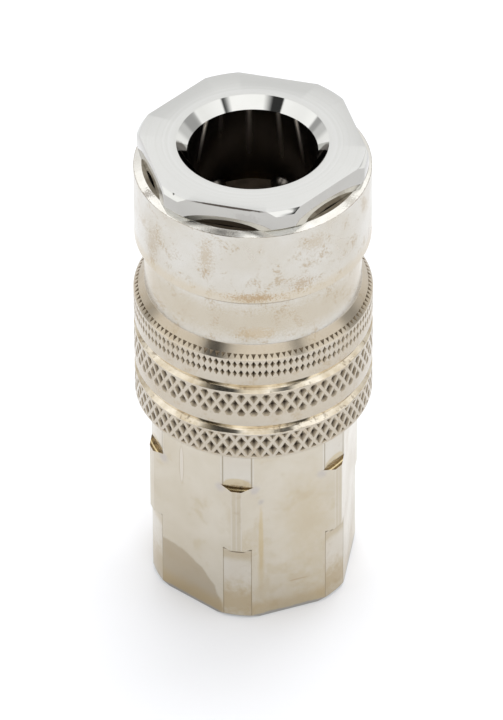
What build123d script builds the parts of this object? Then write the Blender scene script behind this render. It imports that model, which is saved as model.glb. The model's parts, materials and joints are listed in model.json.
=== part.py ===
from build123d import *
import math
import os

# Female half of a push-to-connect air coupling, standing on its threaded end.
# Millimetres. +Z runs up the axis from the pipe end to the plug mouth, the origin is the centre of
# the pipe end's face, and one corner of the rear hexagon points along -Y.

os.makedirs("parts", exist_ok=True)

# Fits and gaps, each on the radius unless it says otherwise
running_fit = 0.07
seat_fit = 0.05
moving_gap = 0.3
spring_gap = 0.42
skirt_gap = 0.38
end_gap = 0.04
stop_gap = 0.3
shoulder_gap = 0.88

# Rear hexagon with the female pipe thread
adapter_flats = 23.8
adapter_length = 36.0
corner_stand = 1.48
front_corner_stand = 0.82
rear_corner_stand = 0.94
adapter_rear_turned_length = 11.1
adapter_shoulder_height = 21.02
adapter_shoulder_drop = 0.38
adapter_foot_chamfer = 0.35
port_radius = 7.35
port_length = 12.5
port_countersink = 0.7
passage_radius = 6.2
guide_pocket_radius = 6.9
guide_pocket_floor = 18.0

# Front body: hexagon nose and long tube
barrel_top = 64.5
nose_flats = 25.4
nose_height = 2.95
nose_corner_stand = 1.35
nose_top_bevel = 0.57
nose_top_bevel_width = 0.45
nose_turn = 55.2
plug_bore_radius = 7.85
mouth_chamfer = 1.3
bore_relief_depth = 10.9
bore_relief = 0.2
plug_stop_depth = 17.5
plug_tip_radius = 6.2
tip_guide_length = 1.5
barrel_stub_length = 9.0
stub_step = 0.78
stub_wall = 1.4

# Locking balls
ball_count = 6
ball_diameter = 3.175
ball_depth = 12.65
ball_protrusion = 0.8
ball_turn = 13.4
ball_lift_past_bore = 0.05

# Sleeve
sleeve_stroke = 5.2
skirt_wall = 1.4
skirt_lip = 0.3
step_to_neck = 2.55
neck_wall = 1.05
neck_length = 7.15
band_stand = 1.15
rim_wall = 1.45
rim_bevel_height = 0.32
rim_bevel_width = 0.98
neck_edge_round = 0.2
collar_bevel = 1.3
knurl_band_heights = (4.03, 5.05)
groove_depth = 0.57
groove_upper_drop = 0.97
groove_lower_drop = 0.4
lock_gap = 0.225
lock_land_below = 1.85
lock_land_above = 0.5
release_ramp_angle = 20.0
release_gap = 0.25

# Springs: the wire's section has a few flat sides, which keeps the long coils light
wire_side_count = 8
sleeve_spring_wire = 1.0
sleeve_spring_turns = 5.5
spring_washer_thickness = 0.5
spring_washer_width = 1.05
valve_spring_wire = 0.8
valve_spring_turns = 7.5
valve_spring_clearance = 0.4

# Seals and seat
packing_thickness = 4.0
packing_squeeze = 0.45
packing_lip = 1.1
packing_groove = 1.6
valve_seat_thickness = 3.0
seat_hole_inset = 0.3
seat_land_width = 0.5
seat_land_height = 0.25
gasket_thickness = 1.5
gasket_width = 1.3

# Valve
crown_gap = 0.5
crown_wall = 1.8
crown_height = 4.0
crown_floor = 1.2
crown_slot_count = 4
crown_slot_width = 2.6
washer_overlap = 0.7
valve_washer_thickness = 1.5
retainer_thickness = 1.2
retainer_boss_radius = 4.2
retainer_boss_height = 1.4
retainer_edge = 0.25
stem_radius = 1.5
stem_tail = 3.15
stem_head_stand = 1.1
stem_head_height = 0.9
stem_tip_chamfer = 0.4
guide_thickness = 2.0
guide_ring_width = 1.9
guide_hub_wall = 1.2
guide_hub_length = 4.0
guide_leg_count = 3
guide_leg_width = 1.6

# Radii that follow from the sizes above, from the bore outwards
ball_radius = ball_diameter / 2
ball_track_radius = plug_bore_radius + ball_radius - ball_protrusion
ball_travel = ball_protrusion + ball_lift_past_bore
lock_land_radius = ball_track_radius + ball_radius + lock_gap
recess_radius = ball_track_radius + ball_travel + ball_radius + release_gap
barrel_radius = lock_land_radius - running_fit
barrel_stub_radius = barrel_radius - stub_step
adapter_thread_radius = barrel_stub_radius + seat_fit
rear_bore_radius = barrel_stub_radius - stub_wall
packing_tip_radius = plug_tip_radius - packing_squeeze
packing_radius = rear_bore_radius - seat_fit
valve_seat_hole_radius = plug_tip_radius - seat_hole_inset
crown_radius = valve_seat_hole_radius - crown_gap
crown_bore_radius = crown_radius - crown_wall
valve_washer_radius = valve_seat_hole_radius + washer_overlap
stem_hole_radius = stem_radius + seat_fit
stem_head_radius = stem_radius + stem_head_stand
guide_radius = guide_pocket_radius - seat_fit
guide_hub_radius = stem_radius + running_fit + guide_hub_wall
valve_spring_mean_radius = retainer_boss_radius + valve_spring_clearance + valve_spring_wire / 2
sleeve_spring_bore_start = barrel_radius + moving_gap
sleeve_spring_mean_radius = sleeve_spring_bore_start + sleeve_spring_wire / 2
spring_bore_radius = sleeve_spring_mean_radius + sleeve_spring_wire / 2 + spring_gap
adapter_corner_radius = adapter_flats / 2 + corner_stand
adapter_front_radius = adapter_flats / 2 + front_corner_stand
adapter_rear_radius = adapter_flats / 2 + rear_corner_stand
skirt_bore_radius = adapter_front_radius + skirt_gap
knurl_radius = skirt_bore_radius + skirt_wall
groove_root_radius = knurl_radius - groove_depth
neck_radius = spring_bore_radius + neck_wall
band_radius = neck_radius + band_stand
rim_bore_radius = band_radius - rim_wall
nose_corner_radius = nose_flats / 2 + nose_corner_stand
nose_top_radius = nose_corner_radius - nose_top_bevel_width

# Heights that follow from the sizes above
nose_underside = barrel_top - nose_height
ball_height = barrel_top - ball_depth
plug_stop_height = barrel_top - plug_stop_depth
packing_shoulder_height = plug_stop_height - tip_guide_length
seat_top = packing_shoulder_height - packing_thickness
seat_bottom = seat_top - valve_seat_thickness
seat_land_bottom = seat_bottom - seat_land_height
valve_washer_bottom = seat_land_bottom - valve_washer_thickness
retainer_bottom = valve_washer_bottom - retainer_thickness
retainer_boss_bottom = retainer_bottom - retainer_boss_height
crown_floor_top = seat_land_bottom + crown_floor
stem_top = crown_floor_top + stem_head_height
stem_bottom = guide_pocket_floor - stem_tail
guide_top = guide_pocket_floor + guide_thickness
barrel_foot = adapter_length - barrel_stub_length
gasket_floor = barrel_foot - gasket_thickness
shoulder_foot = adapter_shoulder_height - adapter_shoulder_drop
spring_floor = adapter_length + spring_washer_thickness
skirt_height = adapter_shoulder_height + sleeve_stroke + shoulder_gap
sleeve_step_height = adapter_length + sleeve_stroke + stop_gap
neck_bottom = sleeve_step_height + step_to_neck
neck_top = neck_bottom + neck_length
sleeve_front = nose_underside - end_gap
lock_land_bottom = ball_height - lock_land_below
lock_land_top = ball_height + lock_land_above
ramp_top = lock_land_top + (recess_radius - lock_land_radius) / math.tan(math.radians(release_ramp_angle))
rim_cone_foot = sleeve_front - (rim_bore_radius - recess_radius)
spring_height = lock_land_bottom - spring_floor
valve_spring_height = retainer_bottom - guide_top

# Adapter: hexagon bar, corners turned down at the front and at the rear with a cone between them
with BuildPart() as adapter:
    with BuildSketch(Plane.XY):
        RegularPolygon(adapter_flats / 2, 6, major_radius=False, rotation=30)
    extrude(amount=adapter_length)
    with BuildSketch(Plane.XZ) as adapter_turning:
        with BuildLine():
            Polyline(
                (0, 0),
                (adapter_rear_radius - adapter_foot_chamfer, 0),
                (adapter_rear_radius, adapter_foot_chamfer),
                (adapter_rear_radius, adapter_rear_turned_length),
                (adapter_corner_radius, adapter_rear_turned_length),
                (adapter_corner_radius, shoulder_foot),
                (adapter_front_radius, adapter_shoulder_height),
                (adapter_front_radius, adapter_length - adapter_foot_chamfer),
                (adapter_front_radius - adapter_foot_chamfer, adapter_length),
                (0, adapter_length),
                close=True,
            )
        make_face()
    revolve(axis=Axis.Z, mode=Mode.INTERSECT)
    with BuildSketch(Plane.XZ) as adapter_bores:
        with BuildLine():
            Polyline(
                (0, 0),
                (port_radius + port_countersink, 0),
                (port_radius, port_countersink),
                (port_radius, port_length),
                (passage_radius, port_length),
                (passage_radius, guide_pocket_floor),
                (guide_pocket_radius, guide_pocket_floor),
                (guide_pocket_radius, gasket_floor),
                (adapter_thread_radius, gasket_floor),
                (adapter_thread_radius, adapter_length),
                (0, adapter_length),
                close=True,
            )
        make_face()
    revolve(axis=Axis.Z, mode=Mode.SUBTRACT)
adapter.part.label = "adapter"
export_step(adapter.part, "parts/adapter.step")

# Nose barrel: hexagon nose, tube, stub that screws into the adapter, and the ball pockets
with BuildPart() as nose_barrel:
    with BuildSketch(Plane.XY.offset(nose_underside)):
        RegularPolygon(nose_flats / 2, 6, major_radius=False, rotation=nose_turn)
    extrude(amount=nose_height)
    with BuildSketch(Plane.XZ) as nose_turning:
        with BuildLine():
            Polyline(
                (0, nose_underside),
                (nose_corner_radius, nose_underside),
                (nose_corner_radius, barrel_top - nose_top_bevel),
                (nose_top_radius, barrel_top),
                (0, barrel_top),
                close=True,
            )
        make_face()
    revolve(axis=Axis.Z, mode=Mode.INTERSECT)
    with BuildSketch(Plane.XZ) as barrel_tube:
        with BuildLine():
            Polyline(
                (0, barrel_foot),
                (barrel_stub_radius, barrel_foot),
                (barrel_stub_radius, adapter_length),
                (barrel_radius, adapter_length),
                (barrel_radius, nose_underside),
                (0, nose_underside),
                close=True,
            )
        make_face()
    revolve(axis=Axis.Z)
    with BuildSketch(Plane.XZ) as barrel_bores:
        with BuildLine():
            Polyline(
                (0, barrel_foot),
                (rear_bore_radius, barrel_foot),
                (rear_bore_radius, packing_shoulder_height),
                (plug_tip_radius, packing_shoulder_height),
                (plug_tip_radius, plug_stop_height),
                (plug_bore_radius, plug_stop_height + plug_bore_radius - plug_tip_radius),
                (plug_bore_radius + bore_relief, barrel_top - bore_relief_depth - ball_diameter),
                (plug_bore_radius + bore_relief, barrel_top - bore_relief_depth - bore_relief),
                (plug_bore_radius, barrel_top - bore_relief_depth),
                (plug_bore_radius, barrel_top - mouth_chamfer),
                (plug_bore_radius + mouth_chamfer, barrel_top),
                (0, barrel_top),
                close=True,
            )
        make_face()
    revolve(axis=Axis.Z, mode=Mode.SUBTRACT)
    with Locations((0, 0, ball_height)):
        with PolarLocations(ball_track_radius, ball_count, start_angle=ball_turn):
            Sphere(ball_radius + running_fit, mode=Mode.SUBTRACT)
            Cylinder(
                ball_radius + running_fit,
                barrel_radius,
                rotation=(0, 90, 0),
                align=(Align.CENTER, Align.CENTER, Align.MIN),
                mode=Mode.SUBTRACT,
            )
nose_barrel.part.label = "nose_barrel"
export_step(nose_barrel.part, "parts/nose_barrel.step")

# Locking balls, each on its own radius and resting in the mouth of its pocket
for ball_index in range(ball_count):
    ball_angle = math.radians(ball_turn + ball_index * 360 / ball_count)
    ball_x = ball_track_radius * math.cos(ball_angle)
    ball_y = ball_track_radius * math.sin(ball_angle)
    ball_name = f"locking_ball_{ball_index + 1}"
    with BuildPart() as locking_ball:
        with Locations((ball_x, ball_y, ball_height)):
            Sphere(ball_radius)
    locking_ball.part.label = ball_name
    export_step(locking_ball.part, f"parts/{ball_name}.step")

# Sleeve: turned outside with a collar, two grooves and a neck; inside, from the front, a cone, the
# recess that frees the balls, the ramp, the land that holds them in, and the spring's bore
with BuildPart() as sleeve:
    with BuildSketch(Plane.XZ) as sleeve_outside:
        with BuildLine():
            Polyline(
                (0, skirt_height),
                (knurl_radius - skirt_lip, skirt_height),
                (knurl_radius, skirt_height + skirt_lip),
                (knurl_radius, neck_bottom - collar_bevel),
                (knurl_radius - collar_bevel, neck_bottom),
                (neck_radius, neck_bottom),
                (neck_radius, neck_top),
                (band_radius - neck_edge_round, neck_top),
                (band_radius, neck_top + neck_edge_round),
                (band_radius, sleeve_front - rim_bevel_height),
                (band_radius - rim_bevel_width, sleeve_front),
                (0, sleeve_front),
                close=True,
            )
        make_face()
    revolve(axis=Axis.Z)
    groove_top = neck_bottom - collar_bevel
    for band_height in knurl_band_heights:
        groove_top -= band_height
        groove_bottom = groove_top - groove_upper_drop - groove_lower_drop
        with BuildSketch(Plane.XZ) as groove_profile:
            with BuildLine():
                Polyline(
                    (knurl_radius, groove_top),
                    (groove_root_radius, groove_top - groove_upper_drop),
                    (knurl_radius, groove_bottom),
                    close=True,
                )
            make_face()
        revolve(axis=Axis.Z, mode=Mode.SUBTRACT)
        groove_top = groove_bottom
    with BuildSketch(Plane.XZ) as sleeve_inside:
        with BuildLine():
            Polyline(
                (0, skirt_height),
                (skirt_bore_radius + skirt_lip, skirt_height),
                (skirt_bore_radius, skirt_height + skirt_lip),
                (skirt_bore_radius, sleeve_step_height),
                (spring_bore_radius, sleeve_step_height),
                (spring_bore_radius, lock_land_bottom),
                (lock_land_radius, lock_land_bottom),
                (lock_land_radius, lock_land_top),
                (recess_radius, ramp_top),
                (recess_radius, rim_cone_foot),
                (rim_bore_radius, sleeve_front),
                (0, sleeve_front),
                close=True,
            )
        make_face()
    revolve(axis=Axis.Z, mode=Mode.SUBTRACT)
sleeve.part.label = "sleeve"
export_step(sleeve.part, "parts/sleeve.step")

# Sleeve spring, ground flat where it meets its washer and the land's lower face
with BuildPart() as sleeve_spring:
    with BuildLine() as sleeve_spring_line:
        Helix(
            pitch=spring_height / sleeve_spring_turns,
            height=spring_height,
            radius=sleeve_spring_mean_radius,
            center=(0, 0, spring_floor),
        )
    with BuildSketch(Plane(sleeve_spring_line.line @ 0, z_dir=sleeve_spring_line.line % 0)):
        RegularPolygon(sleeve_spring_wire / 2, wire_side_count)
    sweep(path=sleeve_spring_line.line, is_frenet=True)
    split(bisect_by=Plane.XY.offset(spring_floor), keep=Keep.TOP)
    split(bisect_by=Plane.XY.offset(lock_land_bottom), keep=Keep.BOTTOM)
sleeve_spring.part.label = "sleeve_spring"
export_step(sleeve_spring.part, "parts/sleeve_spring.step")

# Washer under the sleeve spring
with BuildPart() as spring_washer:
    with BuildSketch(Plane.XY.offset(adapter_length)):
        Circle(sleeve_spring_bore_start + spring_washer_width)
        Circle(sleeve_spring_bore_start, mode=Mode.SUBTRACT)
    extrude(amount=spring_washer_thickness)
spring_washer.part.label = "spring_washer"
export_step(spring_washer.part, "parts/spring_washer.step")

# Gasket between the barrel's foot and the adapter
with BuildPart() as body_gasket:
    with BuildSketch(Plane.XY.offset(gasket_floor)):
        Circle(barrel_stub_radius)
        Circle(barrel_stub_radius - gasket_width, mode=Mode.SUBTRACT)
    extrude(amount=gasket_thickness)
body_gasket.part.label = "body_gasket"
export_step(body_gasket.part, "parts/body_gasket.step")

# Lip packing: a ring with a groove in its rear face, so that air pressure spreads the lips
with BuildPart() as plug_packing:
    with BuildSketch(Plane.XZ) as packing_profile:
        with BuildLine():
            Polyline(
                (packing_tip_radius, packing_shoulder_height),
                (packing_tip_radius, seat_top + packing_lip / 2),
                (packing_tip_radius + packing_lip / 2, seat_top),
                (packing_tip_radius + packing_lip, seat_top),
                (packing_tip_radius + packing_lip, seat_top + packing_groove),
                (packing_radius - packing_lip, seat_top + packing_groove),
                (packing_radius - packing_lip, seat_top),
                (packing_radius, seat_top),
                (packing_radius, packing_shoulder_height),
                close=True,
            )
        make_face()
    revolve(axis=Axis.Z)
plug_packing.part.label = "plug_packing"
export_step(plug_packing.part, "parts/plug_packing.step")

# Seat ring behind the packing, with a narrow raised land that the valve washer closes on
with BuildPart() as valve_seat:
    with BuildSketch(Plane.XZ) as seat_profile:
        with BuildLine():
            Polyline(
                (valve_seat_hole_radius, seat_land_bottom),
                (valve_seat_hole_radius + seat_land_width, seat_land_bottom),
                (valve_seat_hole_radius + seat_land_width, seat_bottom),
                (packing_radius, seat_bottom),
                (packing_radius, seat_top),
                (valve_seat_hole_radius, seat_top),
                close=True,
            )
        make_face()
    revolve(axis=Axis.Z)
valve_seat.part.label = "valve_seat"
export_step(valve_seat.part, "parts/valve_seat.step")

# Valve head: a slotted crown that the plug's tip pushes, open for the air between its prongs
with BuildPart() as valve_head:
    with BuildSketch(Plane.XY.offset(seat_land_bottom)):
        Circle(crown_radius)
    extrude(amount=crown_height)
    with BuildSketch(Plane.XY.offset(crown_floor_top)):
        Circle(crown_bore_radius)
    extrude(amount=crown_height - crown_floor, mode=Mode.SUBTRACT)
    with BuildSketch(Plane.XY.offset(crown_floor_top)):
        with PolarLocations(0, crown_slot_count):
            Rectangle(2 * crown_radius, crown_slot_width, align=(Align.MIN, Align.CENTER))
    extrude(amount=crown_height - crown_floor, mode=Mode.SUBTRACT)
    with BuildSketch(Plane.XY.offset(seat_land_bottom)):
        Circle(stem_hole_radius)
    extrude(amount=crown_floor, mode=Mode.SUBTRACT)
valve_head.part.label = "valve_head"
export_step(valve_head.part, "parts/valve_head.step")

# Rubber washer that seals on the seat's land
with BuildPart() as valve_washer:
    with BuildSketch(Plane.XY.offset(valve_washer_bottom)):
        Circle(valve_washer_radius)
        Circle(stem_hole_radius, mode=Mode.SUBTRACT)
    extrude(amount=valve_washer_thickness)
valve_washer.part.label = "valve_washer"
export_step(valve_washer.part, "parts/valve_washer.step")

# Retainer that clamps the washer and centres the valve spring on its boss
with BuildPart() as washer_retainer:
    with BuildSketch(Plane.XZ) as retainer_profile:
        with BuildLine():
            Polyline(
                (stem_hole_radius, valve_washer_bottom),
                (valve_washer_radius, valve_washer_bottom),
                (valve_washer_radius, retainer_bottom + retainer_edge),
                (valve_washer_radius - retainer_edge, retainer_bottom),
                (retainer_boss_radius, retainer_bottom),
                (retainer_boss_radius, retainer_boss_bottom + retainer_edge),
                (retainer_boss_radius - retainer_edge, retainer_boss_bottom),
                (stem_hole_radius, retainer_boss_bottom),
                close=True,
            )
        make_face()
    revolve(axis=Axis.Z)
washer_retainer.part.label = "washer_retainer"
export_step(washer_retainer.part, "parts/washer_retainer.step")

# Stem through the valve, headed over the crown's floor and pointed at the rear
with BuildPart() as valve_stem:
    with BuildSketch(Plane.XZ) as stem_profile:
        with BuildLine():
            Polyline(
                (0, stem_bottom),
                (stem_radius - stem_tip_chamfer, stem_bottom),
                (stem_radius, stem_bottom + stem_tip_chamfer),
                (stem_radius, crown_floor_top),
                (stem_head_radius, crown_floor_top),
                (stem_head_radius - stem_tip_chamfer, stem_top),
                (0, stem_top),
                close=True,
            )
        make_face()
    revolve(axis=Axis.Z)
valve_stem.part.label = "valve_stem"
export_step(valve_stem.part, "parts/valve_stem.step")

# Valve spring between the guide and the retainer
with BuildPart() as valve_spring:
    with BuildLine() as valve_spring_line:
        Helix(
            pitch=valve_spring_height / valve_spring_turns,
            height=valve_spring_height,
            radius=valve_spring_mean_radius,
            center=(0, 0, guide_top),
        )
    with BuildSketch(Plane(valve_spring_line.line @ 0, z_dir=valve_spring_line.line % 0)):
        RegularPolygon(valve_spring_wire / 2, wire_side_count)
    sweep(path=valve_spring_line.line, is_frenet=True)
    split(bisect_by=Plane.XY.offset(guide_top), keep=Keep.TOP)
    split(bisect_by=Plane.XY.offset(retainer_bottom), keep=Keep.BOTTOM)
valve_spring.part.label = "valve_spring"
export_step(valve_spring.part, "parts/valve_spring.step")

# Guide: a ring on the adapter's ledge, three legs and a hub that the stem slides in
with BuildPart() as valve_guide:
    with BuildSketch(Plane.XY.offset(guide_pocket_floor)):
        Circle(guide_radius)
        Circle(guide_radius - guide_ring_width, mode=Mode.SUBTRACT)
        with PolarLocations(0, guide_leg_count, start_angle=90):
            Rectangle(guide_radius - seat_fit, guide_leg_width, align=(Align.MIN, Align.CENTER))
        Circle(guide_hub_radius)
    extrude(amount=guide_thickness)
    with BuildSketch(Plane.XY.offset(guide_pocket_floor)):
        Circle(guide_hub_radius)
    extrude(amount=guide_hub_length)
    with BuildSketch(Plane.XY.offset(guide_pocket_floor)):
        Circle(stem_radius + running_fit)
    extrude(amount=guide_hub_length, mode=Mode.SUBTRACT)
valve_guide.part.label = "valve_guide"
export_step(valve_guide.part, "parts/valve_guide.step")
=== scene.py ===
import json
import logging
import math
from collections.abc import Callable, Iterable, Mapping, Sequence
from dataclasses import dataclass, field
from enum import Enum

import bmesh
import bpy
from mathutils import Matrix, Vector


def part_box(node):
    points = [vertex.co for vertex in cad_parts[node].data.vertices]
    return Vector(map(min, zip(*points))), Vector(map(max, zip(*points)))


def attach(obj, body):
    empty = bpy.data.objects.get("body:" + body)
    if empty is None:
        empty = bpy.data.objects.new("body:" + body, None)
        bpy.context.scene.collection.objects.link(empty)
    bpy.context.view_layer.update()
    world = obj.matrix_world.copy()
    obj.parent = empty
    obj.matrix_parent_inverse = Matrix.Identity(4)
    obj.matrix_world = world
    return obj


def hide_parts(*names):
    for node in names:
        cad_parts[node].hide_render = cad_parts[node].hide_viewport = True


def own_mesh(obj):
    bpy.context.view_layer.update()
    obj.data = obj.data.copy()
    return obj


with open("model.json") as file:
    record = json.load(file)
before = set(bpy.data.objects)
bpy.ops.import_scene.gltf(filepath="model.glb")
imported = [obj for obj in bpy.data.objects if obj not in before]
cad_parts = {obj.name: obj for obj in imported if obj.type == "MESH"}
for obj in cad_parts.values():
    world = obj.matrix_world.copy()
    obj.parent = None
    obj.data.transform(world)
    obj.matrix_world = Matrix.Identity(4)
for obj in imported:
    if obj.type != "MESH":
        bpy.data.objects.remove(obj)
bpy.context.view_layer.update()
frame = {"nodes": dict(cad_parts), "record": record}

# Female half of a push-to-connect air coupling, standing on its threaded end, on a white studio table.
# Sizes in the classes are millimetres and degrees. Every mesh is made in metres, in the frame's place.

log = logging.getLogger("coupling")

MM = 0.001
UP = Vector((0.0, 0.0, 1.0))
WELD = 0.003 * MM
EVERYWHERE = 1e5
HEXAGON_SIDES = 6
ROUND_FACETS = 2
SMOOTH_BELOW = 28.0

# Parts of a face's unit normal. A face is level or sloped if it points up by more than these, steep if
# it points up or down by less, and an outer one if it points away from the axis by more.
LEVEL = 0.99
SLOPED = 0.3
STEEP = 0.4
OUTER = 0.1

Corner = tuple[float, float]
Span = tuple[float, float]
Colour = tuple[float, float, float, float]
Socket = bpy.types.NodeSocket
Shaded = bpy.types.Material | bpy.types.World
Mesh = bmesh.types.BMesh
Face = bmesh.types.BMFace
Vert = bmesh.types.BMVert


class Body(Enum):
    """The bodies of the coupling that new pieces ride on."""

    FIXED = "body"
    SPRING = "spring"
    SLEEVE = "sleeve"


class Marks(Enum):
    """Which way a lathe's tool marks follow each other on a surface."""

    ALONG_AXIS = "along the axis"
    ACROSS_FACE = "across the face"


class KnurlEdge(Enum):
    """Where the edges of a knurled band run, in rows from the centres of the nearest row of pits."""

    THROUGH_ROW = 0.0
    BETWEEN_ROWS = 0.5


def srgb(hex_colour: str) -> Colour:
    """Turns an sRGB hex colour into linear values.

    Args:
        hex_colour: a colour such as "#c8c0b0".

    Returns:
        Linear red, green, blue and an alpha of 1.
    """
    levels = [int(hex_colour[place:place + 2], 16) / 255 for place in (1, 3, 5)]
    linear = [level / 12.92 if level <= 0.04045 else ((level + 0.055) / 1.055) ** 2.4 for level in levels]
    return (linear[0], linear[1], linear[2], 1.0)


def grey(level: float) -> Colour:
    """Gives a linear grey."""
    return (level, level, level, 1.0)


def per_mm(size: float) -> float:
    """Gives the texture scale whose features are about `size` millimetres wide."""
    return 1.0 / (size * MM)


def round_axis(radius: float, angle: float, height: float) -> tuple[float, float, float]:
    """Gives a place by its distance from the axis, its angle from +X in degrees and its height."""
    turn = math.radians(angle)
    return (radius * math.cos(turn), radius * math.sin(turn), height)


def emptied(material: Shaded) -> Shaded:
    """Turns on the nodes of a new material or world and clears them.

    Args:
        material: the material or world.

    Returns:
        The same material or world.
    """
    material.use_nodes = True
    material.node_tree.nodes.clear()
    return material


def add_node(
    material: Shaded,
    kind: str,
    settings: Mapping[str, object] | None = None,
    links: Mapping[str | int, object] | None = None,
) -> bpy.types.Node:
    """Adds one node to a material or world, with its settings and its inputs.

    Args:
        material: the material or world that the node goes into.
        kind: the node's type name.
        settings: properties of the node, by name.
        links: inputs by name or place, each a plain value or another node's output.

    Returns:
        The new node.
    """
    node = material.node_tree.nodes.new(kind)
    for name, value in (settings or {}).items():
        setattr(node, name, value)
    for socket, value in (links or {}).items():
        if isinstance(value, Socket):
            material.node_tree.links.new(value, node.inputs[socket])
        else:
            node.inputs[socket].default_value = value
    return node


def mix_colour(
    material: Shaded, amount: Socket | float, base: Socket | Colour, over: Socket | Colour,
) -> Socket:
    """Lays one colour over another.

    Args:
        material: the material or world.
        amount: how much of the upper colour shows, from 0 to 1.
        base: the lower colour.
        over: the upper colour.

    Returns:
        The mixed colour.
    """
    return add_node(material, "ShaderNodeMix", {"data_type": "RGBA"}, {
        "Factor": amount, 6: base, 7: over,
    }).outputs[2]


@dataclass(frozen=True)
class Blot:
    """A soft patch of colour at one place on the piece: tarnish and wear, and on some finishes painted shade
    and painted reflections.

    The centre and the reach along X, Y and Z are millimetres. A reach of EVERYWHERE makes a band.
    """

    centre: tuple[float, float, float]
    reach: tuple[float, float, float]
    colour: str
    strength: float = 0.5
    softness: float = 0.5
    ragged: float = 0.3

    def lay(self, made: bpy.types.Material, place: Socket, noise: Socket, base: Socket) -> Socket:
        """Lays the patch over a base colour.

        Args:
            made: the material.
            place: Object coordinates.
            noise: a value from 0 to 1 that breaks up the patch's edge.
            base: the colour below.

        Returns:
            The colour with the patch.
        """
        away = add_node(made, "ShaderNodeVectorMath", {"operation": "SUBTRACT"}, {
            0: place, 1: Vector(self.centre) * MM,
        }).outputs[0]
        scaled = add_node(made, "ShaderNodeVectorMath", {"operation": "MULTIPLY"}, {
            0: away, 1: [1 / (reach * MM) for reach in self.reach],
        }).outputs[0]
        distance = add_node(made, "ShaderNodeVectorMath", {"operation": "LENGTH"}, {0: scaled})
        torn = add_node(made, "ShaderNodeMath", {"operation": "MULTIPLY_ADD"}, {
            0: noise, 1: 2 * self.ragged, 2: distance.outputs["Value"],
        }).outputs[0]
        amount = add_node(made, "ShaderNodeMapRange", {"interpolation_type": "SMOOTHSTEP"}, {
            "Value": torn, "From Min": 1 + self.ragged - self.softness, "From Max": 1 + self.ragged,
            "To Min": self.strength, "To Max": 0.0,
        }).outputs["Result"]
        return mix_colour(made, amount, base, srgb(self.colour))


@dataclass(frozen=True)
class Scuff:
    """A dull streak down the wall of a bore.

    The angle is that of its upper end, in degrees from +X. The lean is in degrees for each millimetre
    down, the reach is in degrees to either side, and the heights are millimetres.
    """

    angle: float
    lean: float
    reach: float
    top: float
    bottom: float
    strength: float

    def amount(self, made: bpy.types.Material, place: Socket) -> Socket:
        """Gives how strongly the streak shows.

        Args:
            made: the material.
            place: Object coordinates.

        Returns:
            A value from 0 to 1.
        """
        axes = add_node(made, "ShaderNodeSeparateXYZ", links={"Vector": place}).outputs
        around = add_node(made, "ShaderNodeMath", {"operation": "ARCTAN2"}, {
            0: axes["Y"], 1: axes["X"],
        }).outputs[0]
        upright = add_node(made, "ShaderNodeMath", {"operation": "MULTIPLY_ADD"}, {
            0: axes["Z"], 1: math.radians(self.lean) / MM, 2: around,
        }).outputs[0]
        away = add_node(made, "ShaderNodeMath", {"operation": "SUBTRACT"}, {
            0: upright, 1: math.radians(self.angle + self.lean * self.top),
        }).outputs[0]
        near = add_node(made, "ShaderNodeMapRange", {"interpolation_type": "SMOOTHSTEP"}, {
            "Value": add_node(made, "ShaderNodeMath", {"operation": "ABSOLUTE"}, {0: away}).outputs[0],
            "From Min": 0.0, "From Max": math.radians(self.reach), "To Min": self.strength, "To Max": 0.0,
        }).outputs["Result"]
        fade = add_node(made, "ShaderNodeMapRange", links={
            "Value": axes["Z"], "From Min": self.bottom * MM, "From Max": self.top * MM,
        }).outputs["Result"]
        return add_node(made, "ShaderNodeMath", {"operation": "MULTIPLY"}, {0: near, 1: fade}).outputs[0]


@dataclass(frozen=True)
class Finish:
    """A real surface finish, whose material is made at its first use."""

    name: str
    colour: str

    def material(self) -> bpy.types.Material:
        """Gives the finish's material."""
        return bpy.data.materials.get(self.name) or self.make()

    def make(self) -> bpy.types.Material:
        """Builds the material's nodes."""
        raise NotImplementedError


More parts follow.
